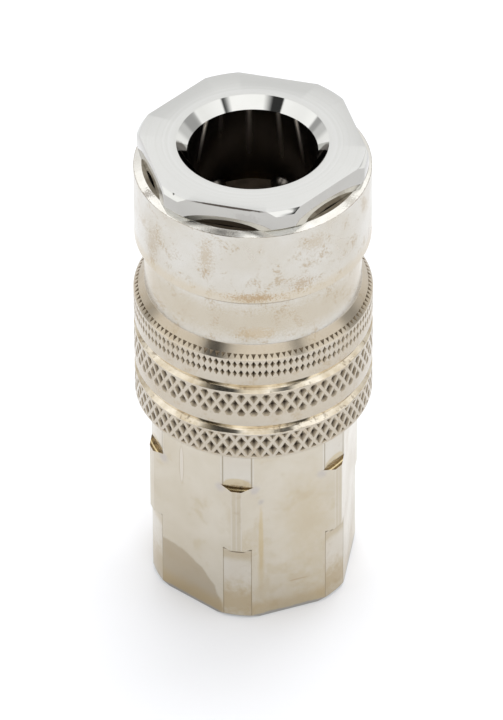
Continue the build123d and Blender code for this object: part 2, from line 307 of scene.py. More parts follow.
@dataclass(frozen=True)
class MetalFinish(Finish):
    """A worked metal surface: a plate or bare metal with tone, stains, worn patches, patches of painted shade
    and reflection, and fine tool marks.

    Colours are sRGB hex values, sizes are millimetres, and strengths run from 0 to 1. The hollow values are
    the radius of the clean surface and the radius at which the painted shade and dirt in the pits are at
    their darkest.
    Corner blots are laid at all six corners of a hexagon, the first of which is at corner_turn degrees
    from +X: their centres are given as out from the axis, to either side, and up. The spans are the
    values of the tone's noise between which the colour and the roughness pass from end to end.
    """

    tone_colour: str
    roughness: float
    tone_size: float = 6.0
    tone_span: Span = (0.35, 0.68)
    roughness_spread: float = 0.05
    roughness_span: Span = (0.3, 0.7)
    stain_colour: str = "#8f7a5c"
    stain_size: float = 0.6
    stain_patch_size: float = 5.0
    stain_start: float = 0.75
    stain_softness: float = 0.22
    stain_strength: float = 0.0
    marks: Marks = Marks.ALONG_AXIS
    turning_pitch: float = 0.25
    turning_strength: float = 0.0
    grain_size: float = 0.12
    grain_strength: float = 0.05
    bump_depth: float = 0.004
    hollow_colour: str = ""
    hollow_top: float = 14.5
    hollow_root: float = 14.1
    brushed: float = 0.0
    blots: tuple[Blot, ...] = ()
    blot_edge_size: float = 0.8
    corner_blots: tuple[Blot, ...] = ()
    corner_turn: float = 30.0
    scuffs: tuple[Scuff, ...] = ()
    scuff_colour: str = "#f0e8dc"
    scuff_roughness: float = 0.78

    def make(self) -> bpy.types.Material:
        """Builds the material's nodes.

        Returns:
            The new material.
        """
        made = emptied(bpy.data.materials.new(self.name))
        place = add_node(made, "ShaderNodeTexCoord").outputs["Object"]
        tone = self.tone(made, place)
        share = add_node(made, "ShaderNodeMapRange", links={
            "Value": tone, "From Min": self.tone_span[0], "From Max": self.tone_span[1],
        }).outputs["Result"]
        colour = self.stain(made, place, mix_colour(made, share, srgb(self.colour), srgb(self.tone_colour)))
        colour = self.soil_and_shade(made, place, self.patches(made, place, colour))
        roughness = add_node(made, "ShaderNodeMapRange", links={
            "Value": tone, "From Min": self.roughness_span[0], "From Max": self.roughness_span[1],
            "To Min": self.roughness - self.roughness_spread,
            "To Max": self.roughness + self.roughness_spread,
        }).outputs["Result"]
        for scuff in self.scuffs:
            amount = scuff.amount(made, place)
            colour = mix_colour(made, amount, colour, srgb(self.scuff_colour))
            roughness = add_node(made, "ShaderNodeMix", links={
                "Factor": amount, "A": roughness, "B": self.scuff_roughness,
            }).outputs["Result"]
        shader = add_node(made, "ShaderNodeBsdfPrincipled", links={
            "Base Color": colour, "Metallic": 1.0, "Roughness": roughness,
            "Normal": self.relief(made, place),
        })
        if self.brushed:
            tangent = add_node(made, "ShaderNodeTangent", {"direction_type": "RADIAL", "axis": "Z"})
            made.node_tree.links.new(tangent.outputs[0], shader.inputs["Tangent"])
            shader.inputs["Anisotropic"].default_value = self.brushed
            shader.inputs["Anisotropic Rotation"].default_value = 0.25
        add_node(made, "ShaderNodeOutputMaterial", links={"Surface": shader.outputs["BSDF"]})
        return made

    def tone(self, made: bpy.types.Material, place: Socket) -> Socket:
        """Gives the slow change of tone over the surface, in rings where the face was turned across.

        Args:
            made: the material.
            place: Object coordinates.

        Returns:
            A value from 0 to 1.
        """
        if self.marks is Marks.ACROSS_FACE:
            return add_node(made, "ShaderNodeTexNoise", {"noise_dimensions": "1D"}, {
                "W": self.reach(made, place), "Scale": per_mm(self.tone_size), "Detail": 4.0,
                "Roughness": 0.7,
            }).outputs["Fac"]
        return add_node(made, "ShaderNodeTexNoise", links={
            "Vector": place, "Scale": per_mm(self.tone_size), "Detail": 3.0, "Roughness": 0.55,
        }).outputs["Fac"]

    def patches(self, made: bpy.types.Material, place: Socket, base: Socket) -> Socket:
        """Lays the patches of tarnish and wear, with those of painted shade and painted reflection, over the
        base colour.

        Args:
            made: the material.
            place: Object coordinates.
            base: the colour below the patches.

        Returns:
            The patched colour.
        """
        noise = add_node(made, "ShaderNodeTexNoise", links={
            "Vector": place, "Scale": per_mm(self.blot_edge_size), "Detail": 4.0, "Roughness": 0.6,
        }).outputs["Fac"]
        for blot in self.blots:
            base = blot.lay(made, place, noise, base)
        if self.corner_blots:
            folded = self.folded(made, place)
            for blot in self.corner_blots:
                base = blot.lay(made, folded, noise, base)
        return base

    def folded(self, made: bpy.types.Material, place: Socket) -> Socket:
        """Folds the hexagon's six corners onto one half of one corner.

        Args:
            made: the material.
            place: Object coordinates.

        Returns:
            Coordinates out from the axis through the corner, to either side of it, and up.
        """
        axes = add_node(made, "ShaderNodeSeparateXYZ", links={"Vector": place}).outputs
        around = add_node(made, "ShaderNodeMath", {"operation": "ARCTAN2"}, {
            0: axes["Y"], 1: axes["X"],
        }).outputs[0]
        turned = add_node(made, "ShaderNodeMath", {"operation": "SUBTRACT"}, {
            0: around, 1: math.radians(self.corner_turn),
        }).outputs[0]
        angle = add_node(made, "ShaderNodeMath", {"operation": "PINGPONG"}, {
            0: turned, 1: math.pi / HEXAGON_SIDES,
        }).outputs[0]
        distance = self.reach(made, place)
        sides = [
            add_node(made, "ShaderNodeMath", {"operation": "MULTIPLY"}, {
                0: distance, 1: add_node(made, "ShaderNodeMath", {"operation": ratio}, {0: angle}).outputs[0],
            }).outputs[0]
            for ratio in ("COSINE", "SINE")
        ]
        return add_node(made, "ShaderNodeCombineXYZ", links={
            "X": sides[0], "Y": sides[1], "Z": axes["Z"],
        }).outputs[0]

    def stain(self, made: bpy.types.Material, place: Socket, base: Socket) -> Socket:
        """Lays brownish specks over the base colour, gathered in patches.

        Args:
            made: the material.
            place: Object coordinates.
            base: the colour below the stains.

        Returns:
            The stained colour.
        """
        if not self.stain_strength:
            return base
        specks = add_node(made, "ShaderNodeTexNoise", links={
            "Vector": place, "Scale": per_mm(self.stain_size), "Detail": 5.0, "Roughness": 0.6,
        }).outputs["Fac"]
        patches = add_node(made, "ShaderNodeTexNoise", links={
            "Vector": place, "Scale": per_mm(self.stain_patch_size), "Detail": 2.0, "Roughness": 0.5,
        }).outputs["Fac"]
        both = add_node(made, "ShaderNodeMath", {"operation": "ADD"}, {0: specks, 1: patches}).outputs[0]
        amount = add_node(made, "ShaderNodeMapRange", {"interpolation_type": "SMOOTHSTEP"}, {
            "Value": both, "From Min": 2 * self.stain_start - self.stain_softness,
            "From Max": 2 * self.stain_start, "To Max": self.stain_strength,
        }).outputs["Result"]
        return mix_colour(made, amount, base, srgb(self.stain_colour))

    def soil_and_shade(self, made: bpy.types.Material, place: Socket, base: Socket) -> Socket:
        """Darkens the pits of a knurl the deeper they lie: painted shade, with the dirt that gathers in them.

        Args:
            made: the material.
            place: Object coordinates.
            base: the clean colour.

        Returns:
            The colour with its dirt.
        """
        if not self.hollow_colour:
            return base
        depth = add_node(made, "ShaderNodeMapRange", links={
            "Value": self.reach(made, place), "From Min": self.hollow_top * MM,
            "From Max": self.hollow_root * MM,
        }).outputs["Result"]
        return mix_colour(made, depth, base, srgb(self.hollow_colour))

    def reach(self, made: bpy.types.Material, place: Socket) -> Socket:
        """Gives the distance from the coupling's axis.

        Args:
            made: the material.
            place: Object coordinates.

        Returns:
            The distance in metres.
        """
        flat = add_node(made, "ShaderNodeVectorMath", {"operation": "MULTIPLY"}, {0: place, 1: (1, 1, 0)})
        away = add_node(made, "ShaderNodeVectorMath", {"operation": "LENGTH"}, {0: flat.outputs[0]})
        return away.outputs["Value"]

    def relief(self, made: bpy.types.Material, place: Socket) -> Socket:
        """Gives the surface its turning lines and fine grain.

        Args:
            made: the material.
            place: Object coordinates.

        Returns:
            The bumped normal.
        """
        grain = add_node(made, "ShaderNodeTexNoise", links={
            "Vector": place, "Scale": per_mm(self.grain_size), "Detail": 2.0,
        }).outputs["Fac"]
        height = add_node(made, "ShaderNodeMath", {"operation": "MULTIPLY"}, {
            0: grain, 1: self.grain_strength,
        }).outputs[0]
        if self.turning_strength:
            along = add_node(made, "ShaderNodeSeparateXYZ", links={"Vector": place}).outputs["Z"]
            lines = add_node(made, "ShaderNodeTexNoise", {"noise_dimensions": "1D"}, {
                "W": along, "Scale": per_mm(self.turning_pitch), "Detail": 3.0, "Roughness": 0.7,
            }).outputs["Fac"]
            height = add_node(made, "ShaderNodeMath", {"operation": "MULTIPLY_ADD"}, {
                0: lines, 1: self.turning_strength, 2: height,
            }).outputs[0]
        return add_node(made, "ShaderNodeBump", links={
            "Height": height, "Strength": 1.0, "Distance": self.bump_depth * MM,
        }).outputs["Normal"]


@dataclass(frozen=True)
class RubberFinish(Finish):
    """Moulded nitrile rubber: a dull dark surface with a dusty bloom that hides any gloss."""

    bloom_colour: str
    roughness: float = 0.6
    bloom_size: float = 2.5
    grain_size: float = 0.2
    bump_depth: float = 0.02

    def make(self) -> bpy.types.Material:
        """Builds the material's nodes.

        Returns:
            The new material.
        """
        made = emptied(bpy.data.materials.new(self.name))
        place = add_node(made, "ShaderNodeTexCoord").outputs["Object"]
        bloom = add_node(made, "ShaderNodeTexNoise", links={
            "Vector": place, "Scale": per_mm(self.bloom_size), "Detail": 4.0,
        }).outputs["Fac"]
        grain = add_node(made, "ShaderNodeTexNoise", links={
            "Vector": place, "Scale": per_mm(self.grain_size),
        }).outputs["Fac"]
        normal = add_node(made, "ShaderNodeBump", links={
            "Height": grain, "Strength": 0.5, "Distance": self.bump_depth * MM,
        }).outputs["Normal"]
        shader = add_node(made, "ShaderNodeBsdfPrincipled", links={
            "Base Color": mix_colour(made, bloom, srgb(self.colour), srgb(self.bloom_colour)),
            "Roughness": self.roughness, "Normal": normal,
        })
        add_node(made, "ShaderNodeOutputMaterial", links={"Surface": shader.outputs["BSDF"]})
        return made


# Bright chrome over polished steel mirrors the studio; the two ends of the mouth's chamfer carry painted dark
# reflections, and oil dries brown in small nicks.
BRIGHT_CHROME = MetalFinish(
    name="polished_chrome_plate", colour="#c8c8c5", tone_colour="#c4c4c0", roughness=0.05,
    roughness_spread=0.015, grain_strength=0.02, blot_edge_size=0.5,
    blots=(
        # Painted reflections: dark at the two ends of the mouth's chamfer.
        Blot(round_axis(8.7, 196.0, 63.7), (1.9, 1.9, 1.5), "#4a423a", 0.85, 0.3, 0.1),
        Blot(round_axis(8.7, 0.5, 63.7), (1.6, 1.6, 1.5), "#4a423a", 0.85, 0.3, 0.1),
        Blot((-7.61, -11.19, 64.4), (0.2, 0.3, 0.3), "#2e2924", 0.9, 0.5, 0.2),
        Blot((-10.95, -7.25, 64.4), (0.25, 0.25, 0.3), "#3e3832", 0.7, 0.5, 0.2),
        Blot((-0.9, -12.7, 64.45), (5.2, 1.2, 0.2), "#3a3027", 0.9, 0.35, 0.3),
    ),
)
# The same plate on the hexagon's flats, a little hazier, with old oil along one flat's upper edge.
FLAT_CHROME = MetalFinish(
    name="hazy_chrome_plate", colour="#b8b6b1", tone_colour="#b3b1ac", roughness=0.07,
    roughness_spread=0.02, grain_strength=0.02, blot_edge_size=0.5,
    blots=(
        Blot((1.4, -12.8, 63.1), (2.2, 0.6, 0.7), "#a7a49f", 0.5, 0.5, 1.0),
        Blot((-0.9, -12.7, 64.4), (5.4, 1.2, 0.24), "#3a3027", 0.9, 0.35, 0.3),
    ),
)
# The same plate over a faced surface: the lathe's rings spread the mirror image into a soft sheen.
FACED_CHROME = MetalFinish(
    name="faced_chrome_plate", colour="#d2d2d0", tone_colour="#cfcfcc", roughness=0.22,
    roughness_spread=0.02, tone_size=0.6, grain_strength=0.05, marks=Marks.ACROSS_FACE,
)
# Plated bore, oily and deep enough to see only itself: nearly black. The plugs' collars have left a
# few dull streaks, brightest just under the mouth.
OILED_STEEL = MetalFinish(
    name="oiled_bored_steel", colour="#6c6864", tone_colour="#5d5955", roughness=0.22,
    roughness_spread=0.05, turning_strength=0.1, turning_pitch=0.3,
    scuffs=(
        Scuff(146.2, 2.2, 4.5, 62.4, 57.4, 1.0),
        Scuff(128.2, 0.3, 4.0, 63.0, 57.8, 0.22),
        Scuff(102.4, 0.0, 4.0, 63.2, 55.5, 0.5),
        Scuff(76.4, -0.6, 3.5, 63.2, 55.5, 0.55),
        Scuff(56.8, -1.7, 4.0, 62.6, 56.4, 0.95),
    ),
)
# Bare steel at the bottom of the bore, dull brown-grey.
DULLED_STEEL = MetalFinish(
    name="dulled_bare_steel", colour="#a59a8f", tone_colour="#8c8278", roughness=0.6, tone_size=1.5,
)
# The sleeve's rim round the hexagon nose: dull plate, darker on the land under the flats, where painted shade
# in the corner under the nose lies over dark dried oil.
OILED_SHADED_RIM = MetalFinish(
    name="oiled_and_shaded_rim", colour="#a8a193", tone_colour="#8c8475", roughness=0.35, tone_size=0.8,
    blot_edge_size=0.5,
    blots=(
        # Painted shade with dried oil: darker on the land under three of the nose's flats.
        Blot(round_axis(13.0, -94.4, 61.5), (4.6, 2.4, 2.0), "#42372c", 0.9, 0.3, 0.3),
        Blot(round_axis(13.0, -34.4, 61.5), (2.6, 3.6, 2.0), "#6a5e4e", 0.6, 0.5, 0.3),
        Blot(round_axis(13.0, -150.0, 61.5), (1.6, 2.6, 2.0), "#5e5548", 0.5, 0.6, 0.3),
    ),
)
# The rim's bevel, burnished white by wear, with dark specks of dirt in places.
BURNISHED_NICKEL = MetalFinish(
    name="burnished_nickel_plate", colour="#e9e7e1", tone_colour="#e2dfd7", roughness=0.16,
    tone_size=1.5, stain_colour="#5a4c3c", stain_size=0.25, stain_patch_size=1.8, stain_strength=0.35,
    stain_start=0.72, blot_edge_size=0.2, turning_strength=0.2,
    blots=(
        Blot(round_axis(13.8, -97.5, 61.35), (2.6, 2.6, 0.9), "#6c5f4d", 0.3, 0.9, 1.4),
        Blot(round_axis(13.9, -145.0, 61.3), (1.3, 1.3, 0.9), "#5c4e3d", 0.6, 0.9, 1.2),
        Blot(round_axis(13.9, -24.0, 61.3), (1.6, 1.6, 0.9), "#6c5f4d", 0.35, 0.9, 1.2),
        Blot((0.0, 0.0, 61.17), (EVERYWHERE, EVERYWHERE, 0.06), "#6e5a40", 0.6, 0.6, 0.9),
    ),
)
# Nickel plate on the turned sleeve: a satin white, darker and browner on the collar and below it, with rusty
# specks low on the smooth band. It carries painted shade in the corner at the neck's foot and painted shadow
# lines under the smooth band's overhang.
SATIN_NICKEL = MetalFinish(
    name="satin_nickel_plate", colour="#cecbc4", tone_colour="#c6c0b4", roughness=0.24,
    roughness_spread=0.05, stain_colour="#a48c66", stain_size=0.3, stain_patch_size=2.2, stain_strength=0.5,
    stain_start=0.64, turning_strength=0.1, brushed=0.4, blot_edge_size=0.22,
    blots=(
        Blot((0.0, 0.0, 34.0), (EVERYWHERE, EVERYWHERE, 10.1), "#b5a68e", 0.5, 0.05, 0.0),
        # Painted shade: darker in the corner at the neck's foot.
        Blot((0.0, 0.0, 43.25), (EVERYWHERE, EVERYWHERE, 0.8), "#9a8e7a", 0.55, 0.3, 0.1),
        Blot((0.0, 0.0, 47.3), (EVERYWHERE, EVERYWHERE, 3.6), "#b5a68b", 0.5, 0.8, 0.7),
        Blot(round_axis(13.15, -79.0, 45.6), (3.2, 3.2, 1.3), "#bfab8c", 0.5, 0.8, 0.8),
        # Painted shadow: two dark lines, along the smooth band's lower edge and on the neck just under it.
        Blot((0.0, 0.0, 51.19), (EVERYWHERE, EVERYWHERE, 0.06), "#5c4e3c", 0.6, 0.5, 0.5),
        Blot((0.0, 0.0, 50.2), (EVERYWHERE, EVERYWHERE, 0.1), "#6e6048", 0.45, 0.6, 0.5),
        Blot((0.0, 0.0, 51.6), (EVERYWHERE, EVERYWHERE, 1.6), "#c6b79d", 0.5, 0.8, 0.8),
        Blot(round_axis(14.3, -80.0, 52.0), (4.2, 4.2, 0.8), "#a1804f", 0.6, 0.9, 1.7),
        Blot(round_axis(14.3, -57.0, 53.2), (1.8, 1.8, 1.4), "#a1855a", 0.5, 0.8, 1.7),
        Blot(round_axis(14.3, -103.6, 57.6), (1.2, 1.2, 3.4), "#aa926c", 0.42, 0.8, 1.8),
        Blot(round_axis(14.3, -50.0, 58.9), (2.2, 2.2, 1.6), "#ab946f", 0.38, 0.8, 1.6),
        Blot(round_axis(14.3, -138.0, 55.2), (2.0, 2.0, 3.4), "#a08a66", 0.42, 0.8, 1.6),
    ),
)
# The same plate in the pits of the knurls, darker the deeper it lies: painted shade in the pits, with the
# dark dirt that gathers there.
SOILED_SHADED_NICKEL = MetalFinish(
    name="soiled_and_shaded_nickel_plate", colour="#a89d8a", tone_colour="#8d816e", roughness=0.36, tone_size=1.0,
    hollow_colour="#3e342a", hollow_top=14.46, hollow_root=14.23,
)
# The half pits along the collar's bevel, evenly dull and dark: painted shade in the pits, with their dirt.
DULL_PITS = MetalFinish(
    name="dull_pitted_nickel_plate", colour="#7a6d5a", tone_colour="#5e5242", roughness=0.4, tone_size=0.8,
)
# Grooves between the knurls: bright from the tool, and brown where old oil has dried.
GROOVE_NICKEL = MetalFinish(
    name="oily_groove_nickel_plate", colour="#ded6c6", tone_colour="#b9ab92", roughness=0.13,
    tone_size=2.5, stain_colour="#5e4d38", stain_size=0.5, stain_patch_size=2.0, stain_strength=0.5,
    stain_start=0.66,
)
# Nickel plate on the brass hexagon's milled flats: yellower and duller, clouded with tan tarnish, with a
# painted reflection of the table's shadow as a darker patch at the foot of one flat, and a long brassy
# scratch on the next.
CLOUDED_NICKEL = MetalFinish(
    name="clouded_nickel_plate", colour="#cbc4b6", tone_colour="#c4bbaa", roughness=0.22,
    roughness_spread=0.05, stain_strength=0.28, stain_start=0.62, stain_size=2.2, stain_patch_size=8.0,
    stain_colour="#b3a07c", blot_edge_size=1.2,
    blots=(
        # Painted reflection of the table's shadow: the darker patch at the foot of one flat.
        Blot((-9.41, -8.31, 0.0), (9.0, 9.0, 7.8), "#a79a84", 0.74, 0.07, 0.05),
        Blot((2.84, -12.11, 12.6), (0.42, 0.42, 6.6), "#c0ab7e", 0.5, 0.6, 0.3),
        Blot((2.84, -12.11, 7.6), (0.7, 0.7, 4.6), "#b8a47c", 0.4, 0.8, 0.2),
        Blot((2.84, -12.11, 18.4), (0.6, 0.6, 0.6), "#aaa5a8", 0.45, 0.9, 0.3),
        Blot((8.03, -9.1, 13.0), (5.5, 4.5, 13.0), "#bcab8a", 0.4, 1.0, 0.6),
        Blot((7.14, -9.62, 4.5), (1.8, 1.1, 0.16), "#a38d69", 0.35, 0.6, 0.5),
        Blot((10.3, -7.75, 4.2), (0.2, 0.2, 2.6), "#b9bdbf", 0.7, 0.5, 0.3),
        Blot((-7.38, -9.48, 20.9), (0.5, 0.3, 3.3), "#a3937a", 0.55, 0.2, 0.02),
        Blot((-7.38, -9.48, 20.9), (0.38, 0.23, 3.15), "#cec7bb", 1.0, 0.2, 0.02),
        Blot((0.0, 0.0, 1.0), (EVERYWHERE, EVERYWHERE, 2.2), "#b39c70", 0.45, 0.9),
        Blot((0.0, 0.0, 0.0), (EVERYWHERE, EVERYWHERE, 0.5), "#9aa0a8", 0.6, 0.4, 0.5),
    ),
    corner_blots=(
        Blot((12.6, 2.2, 20.5), (0.9, 1.0, 0.95), "#b5afb0", 0.55, 0.8, 0.5),
    ),
)
# The hexagon's turned corners: a cleaner grey above the shoulder, tan below the lower step, and a tan
# half-moon above each cone. A dark line under the lip of the lower step is painted shadow, with dirt.
TURNED_NICKEL = MetalFinish(
    name="turned_corner_nickel_plate", colour="#cfcac0", tone_colour="#c9c1b3", roughness=0.16,
    roughness_spread=0.03, stain_strength=0.25, stain_start=0.66, stain_size=1.0, blot_edge_size=0.8,
    blots=(
        Blot((0.0, 0.0, 10.2), (EVERYWHERE, EVERYWHERE, 1.4), "#a8946c", 0.45, 0.9),
        Blot((0.0, 0.0, 2.6), (EVERYWHERE, EVERYWHERE, 4.6), "#a99368", 0.6, 0.9, 0.5),
        # Painted shadow, with dirt: a dark line under the lip of the lower step.
        Blot((0.0, 0.0, 11.03), (EVERYWHERE, EVERYWHERE, 0.17), "#4f4433", 0.8, 0.4, 0.15),
        Blot((0.0, 0.0, 0.0), (EVERYWHERE, EVERYWHERE, 0.45), "#9aa0a8", 0.5, 0.4, 0.5),
    ),
    corner_blots=(
        Blot((12.72, 0.0, 21.02), (0.45, 2.1, 1.4), "#bba981", 0.6, 0.2, 0.05),
        Blot((13.38, 0.3, 16.0), (0.5, 0.42, EVERYWHERE), "#b5a78c", 0.5, 0.7, 0.1),
        Blot((12.72, 1.78, 5.6), (0.4, 0.13, EVERYWHERE), "#877a62", 0.6, 0.5, 0.15),
        # Painted shadow, with dirt: the same dark line where it shows below the lip at each corner.
        Blot((12.84, 0.0, 10.62), (0.6, 1.3, 0.14), "#4f4433", 0.8, 0.5, 0.15),
    ),
)
# The shoulder cones at the corners: dark brassy brown with one bright turned line.
SOILED_SHOULDER = MetalFinish(
    name="soiled_brass_shoulder", colour="#86704c", tone_colour="#4a3b26", roughness=0.27,
    tone_size=0.8, turning_strength=1.0, turning_pitch=0.15, bump_depth=0.02, blot_edge_size=0.4,
    blots=(Blot((0.0, 0.0, 20.81), (EVERYWHERE, EVERYWHERE, 0.05), "#d9c79c", 0.9, 0.4, 0.25),),
)
# Drawn spring wire: grey, oily, with a soft shine.
DRAWN_WIRE = MetalFinish(
    name="drawn_spring_wire", colour="#8d8d8f", tone_colour="#7a7a7c", roughness=0.3,
)
# Turned brass: yellow, with a bright shine from the cutter's rings.
TURNED_BRASS = MetalFinish(
    name="turned_brass", colour="#c9a560", tone_colour="#b8924f", roughness=0.24, turning_strength=0.2,
)
# Ground steel balls, dull with oil.
GROUND_STEEL = MetalFinish(
    name="ground_ball_steel", colour="#78736d", tone_colour="#68635d", roughness=0.3,
)
# Moulded nitrile rubber of the packing and washers.
NITRILE = RubberFinish(name="moulded_nitrile_rubber", colour="#161513", bloom_colour="#24221f")


def welded(mesh: Mesh) -> Mesh:
    """Merges corners that meet and turns all faces outwards.

    Args:
        mesh: the mesh.

    Returns:
        The same mesh.
    """
    bmesh.ops.remove_doubles(mesh, verts=mesh.verts[:], dist=WELD)
    bmesh.ops.recalc_face_normals(mesh, faces=mesh.faces[:])
    return mesh


def turned(profile: Sequence[Corner], steps: int, turn: float = 0.0, closed: bool = True) -> Mesh:
    """Spins an outline once round the Z axis.

    Args:
        profile: the outline's corners as (radius, height), in millimetres.
        steps: facets round the axis.
        turn: angle of the first column of corners, in degrees.
        closed: joins the last corner to the first, which makes a solid in place of a sheet.

    Returns:
        The turned mesh.
    """
    mesh = bmesh.new()
    corners = [mesh.verts.new((radius * MM, 0.0, height * MM)) for radius, height in profile]
    chain = [corners[-1], *corners] if closed else corners
    edges = [mesh.edges.new(pair) for pair in zip(chain, chain[1:])]
    first = Matrix.Rotation(math.radians(turn), 3, "Z")
    bmesh.ops.rotate(mesh, cent=(0, 0, 0), matrix=first, verts=mesh.verts[:])
    bmesh.ops.spin(
        mesh, geom=corners + edges, cent=(0, 0, 0), axis=UP, angle=math.tau, steps=steps,
        use_merge=True, use_duplicate=False,
    )
    return welded(mesh)


def fill_openings(mesh: Mesh) -> None:
    """Closes every open edge loop with a face."""
    bmesh.ops.holes_fill(mesh, edges=[edge for edge in mesh.edges if edge.is_boundary], sides=0)


def slice_off(mesh: Mesh, point: Vector, outwards: Vector, weld: float = WELD) -> None:
    """Cuts a mesh at a plane and takes away what lies beyond it.

    Args:
        mesh: the mesh.
        point: a point of the plane, in metres.
        outwards: the direction in which the geometry goes.
        weld: how near to the plane a corner counts as on it, in metres.
    """
    bmesh.ops.bisect_plane(
        mesh, geom=mesh.verts[:] + mesh.edges[:] + mesh.faces[:], dist=weld,
        plane_co=point, plane_no=outwards, clear_outer=True,
    )


def mill_hexagon(mesh: Mesh, flats: float, first: float) -> None:
    """Mills six upright flats on a turned solid and closes each cut.

    Args:
        mesh: the solid.
        flats: width over two opposite flats, in millimetres.
        first: direction that one flat faces, in degrees from +X.
    """
    for side in range(HEXAGON_SIDES):
        facing = Vector(round_axis(1.0, first + 360 / HEXAGON_SIDES * side, 0.0))
        slice_off(mesh, facing * (flats / 2) * MM, facing)
        fill_openings(mesh)
        bmesh.ops.recalc_face_normals(mesh, faces=mesh.faces[:])


def ease_edges(
    mesh: Mesh, offset: float, above_angle: float = 24.0, skip_levels: Iterable[int] = (),
    skip_within: float = 0.0,
) -> None:
    """Breaks the sharp edges with a small round.

    Args:
        mesh: the solid.
        offset: width of the round, in millimetres.
        above_angle: edges that turn by more than this many degrees are eased.
        skip_levels: heights of edges that stay sharp, in thousandths of a millimetre.
        skip_within: edges nearer to the axis than this stay sharp, in millimetres.
    """
    limit = math.radians(above_angle)
    sharp = [
        edge for edge in mesh.edges
        if edge.is_manifold and edge.calc_face_angle(0.0) > limit
        and round(edge.verts[0].co.z / MM * 1000) not in skip_levels
        and edge.verts[0].co.xy.length > skip_within * MM
    ]
    bmesh.ops.bevel(
        mesh, geom=sharp, offset=offset * MM, offset_type="OFFSET", affect="EDGES",
        segments=ROUND_FACETS, profile=0.5, material=-1, clamp_overlap=True,
    )


def paint(mesh: Mesh, finishes: Sequence[Finish], finish_at: Callable[[Face], Finish]) -> None:
    """Gives each face the number of its finish.

    Args:
        mesh: the geometry.
        finishes: the piece's finishes, in order.
        finish_at: picks the finish of a face.
    """
    for face in mesh.faces:
        face.material_index = finishes.index(finish_at(face))


def stored(mesh: Mesh, name: str) -> bpy.types.Mesh:
    """Moves the geometry into new mesh data.

    Args:
        mesh: the geometry, which is freed.
        name: the data's name.

    Returns:
        The mesh data.
    """
    data = bpy.data.meshes.new(name)
    mesh.to_mesh(data)
    mesh.free()
    return data


def take_in(mesh: Mesh, addition: Mesh) -> None:
    """Moves another mesh's geometry into this one.

    Args:
        mesh: the mesh that grows.
        addition: the other mesh, which is freed.
    """
    carrier = stored(addition, "carrier")
    mesh.from_mesh(carrier)
    bpy.data.meshes.remove(carrier)


def shown(name: str, data: bpy.types.ID) -> bpy.types.Object:
    """Puts a new object into the scene, at the origin.

    Args:
        name: the object's name.
        data: its mesh, lamp or camera data.

    Returns:
        The new object.
    """
    piece = bpy.data.objects.new(name, data)
    bpy.context.scene.collection.objects.link(piece)
    return piece


def finished_piece(
    mesh: Mesh, name: str, body: Body, finishes: Sequence[Finish], replaced: str,
    smooth_below: float = SMOOTH_BELOW,
) -> bpy.types.Object:
    """Turns a bmesh into a piece of the coupling that rides on its body.

    Args:
        mesh: the finished geometry, in metres and in place.
        name: the piece's name.
        body: the body that it rides on.
        finishes: its finishes, in the order of its faces' material numbers.
        replaced: the CAD node that it stands for.
        smooth_below: edges that turn by less than this many degrees shade smoothly.

    Returns:
        The new object.
    """
    data = stored(mesh, name)
    data.shade_smooth()
    data.set_sharp_from_angle(angle=math.radians(smooth_below))
    for finish in finishes:
        data.materials.append(finish.material())
    piece = shown(name, data)
    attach(piece, body.value)
    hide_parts(replaced)
    log.info("%s: %d faces on %s", name, len(data.polygons), body.value)
    return piece


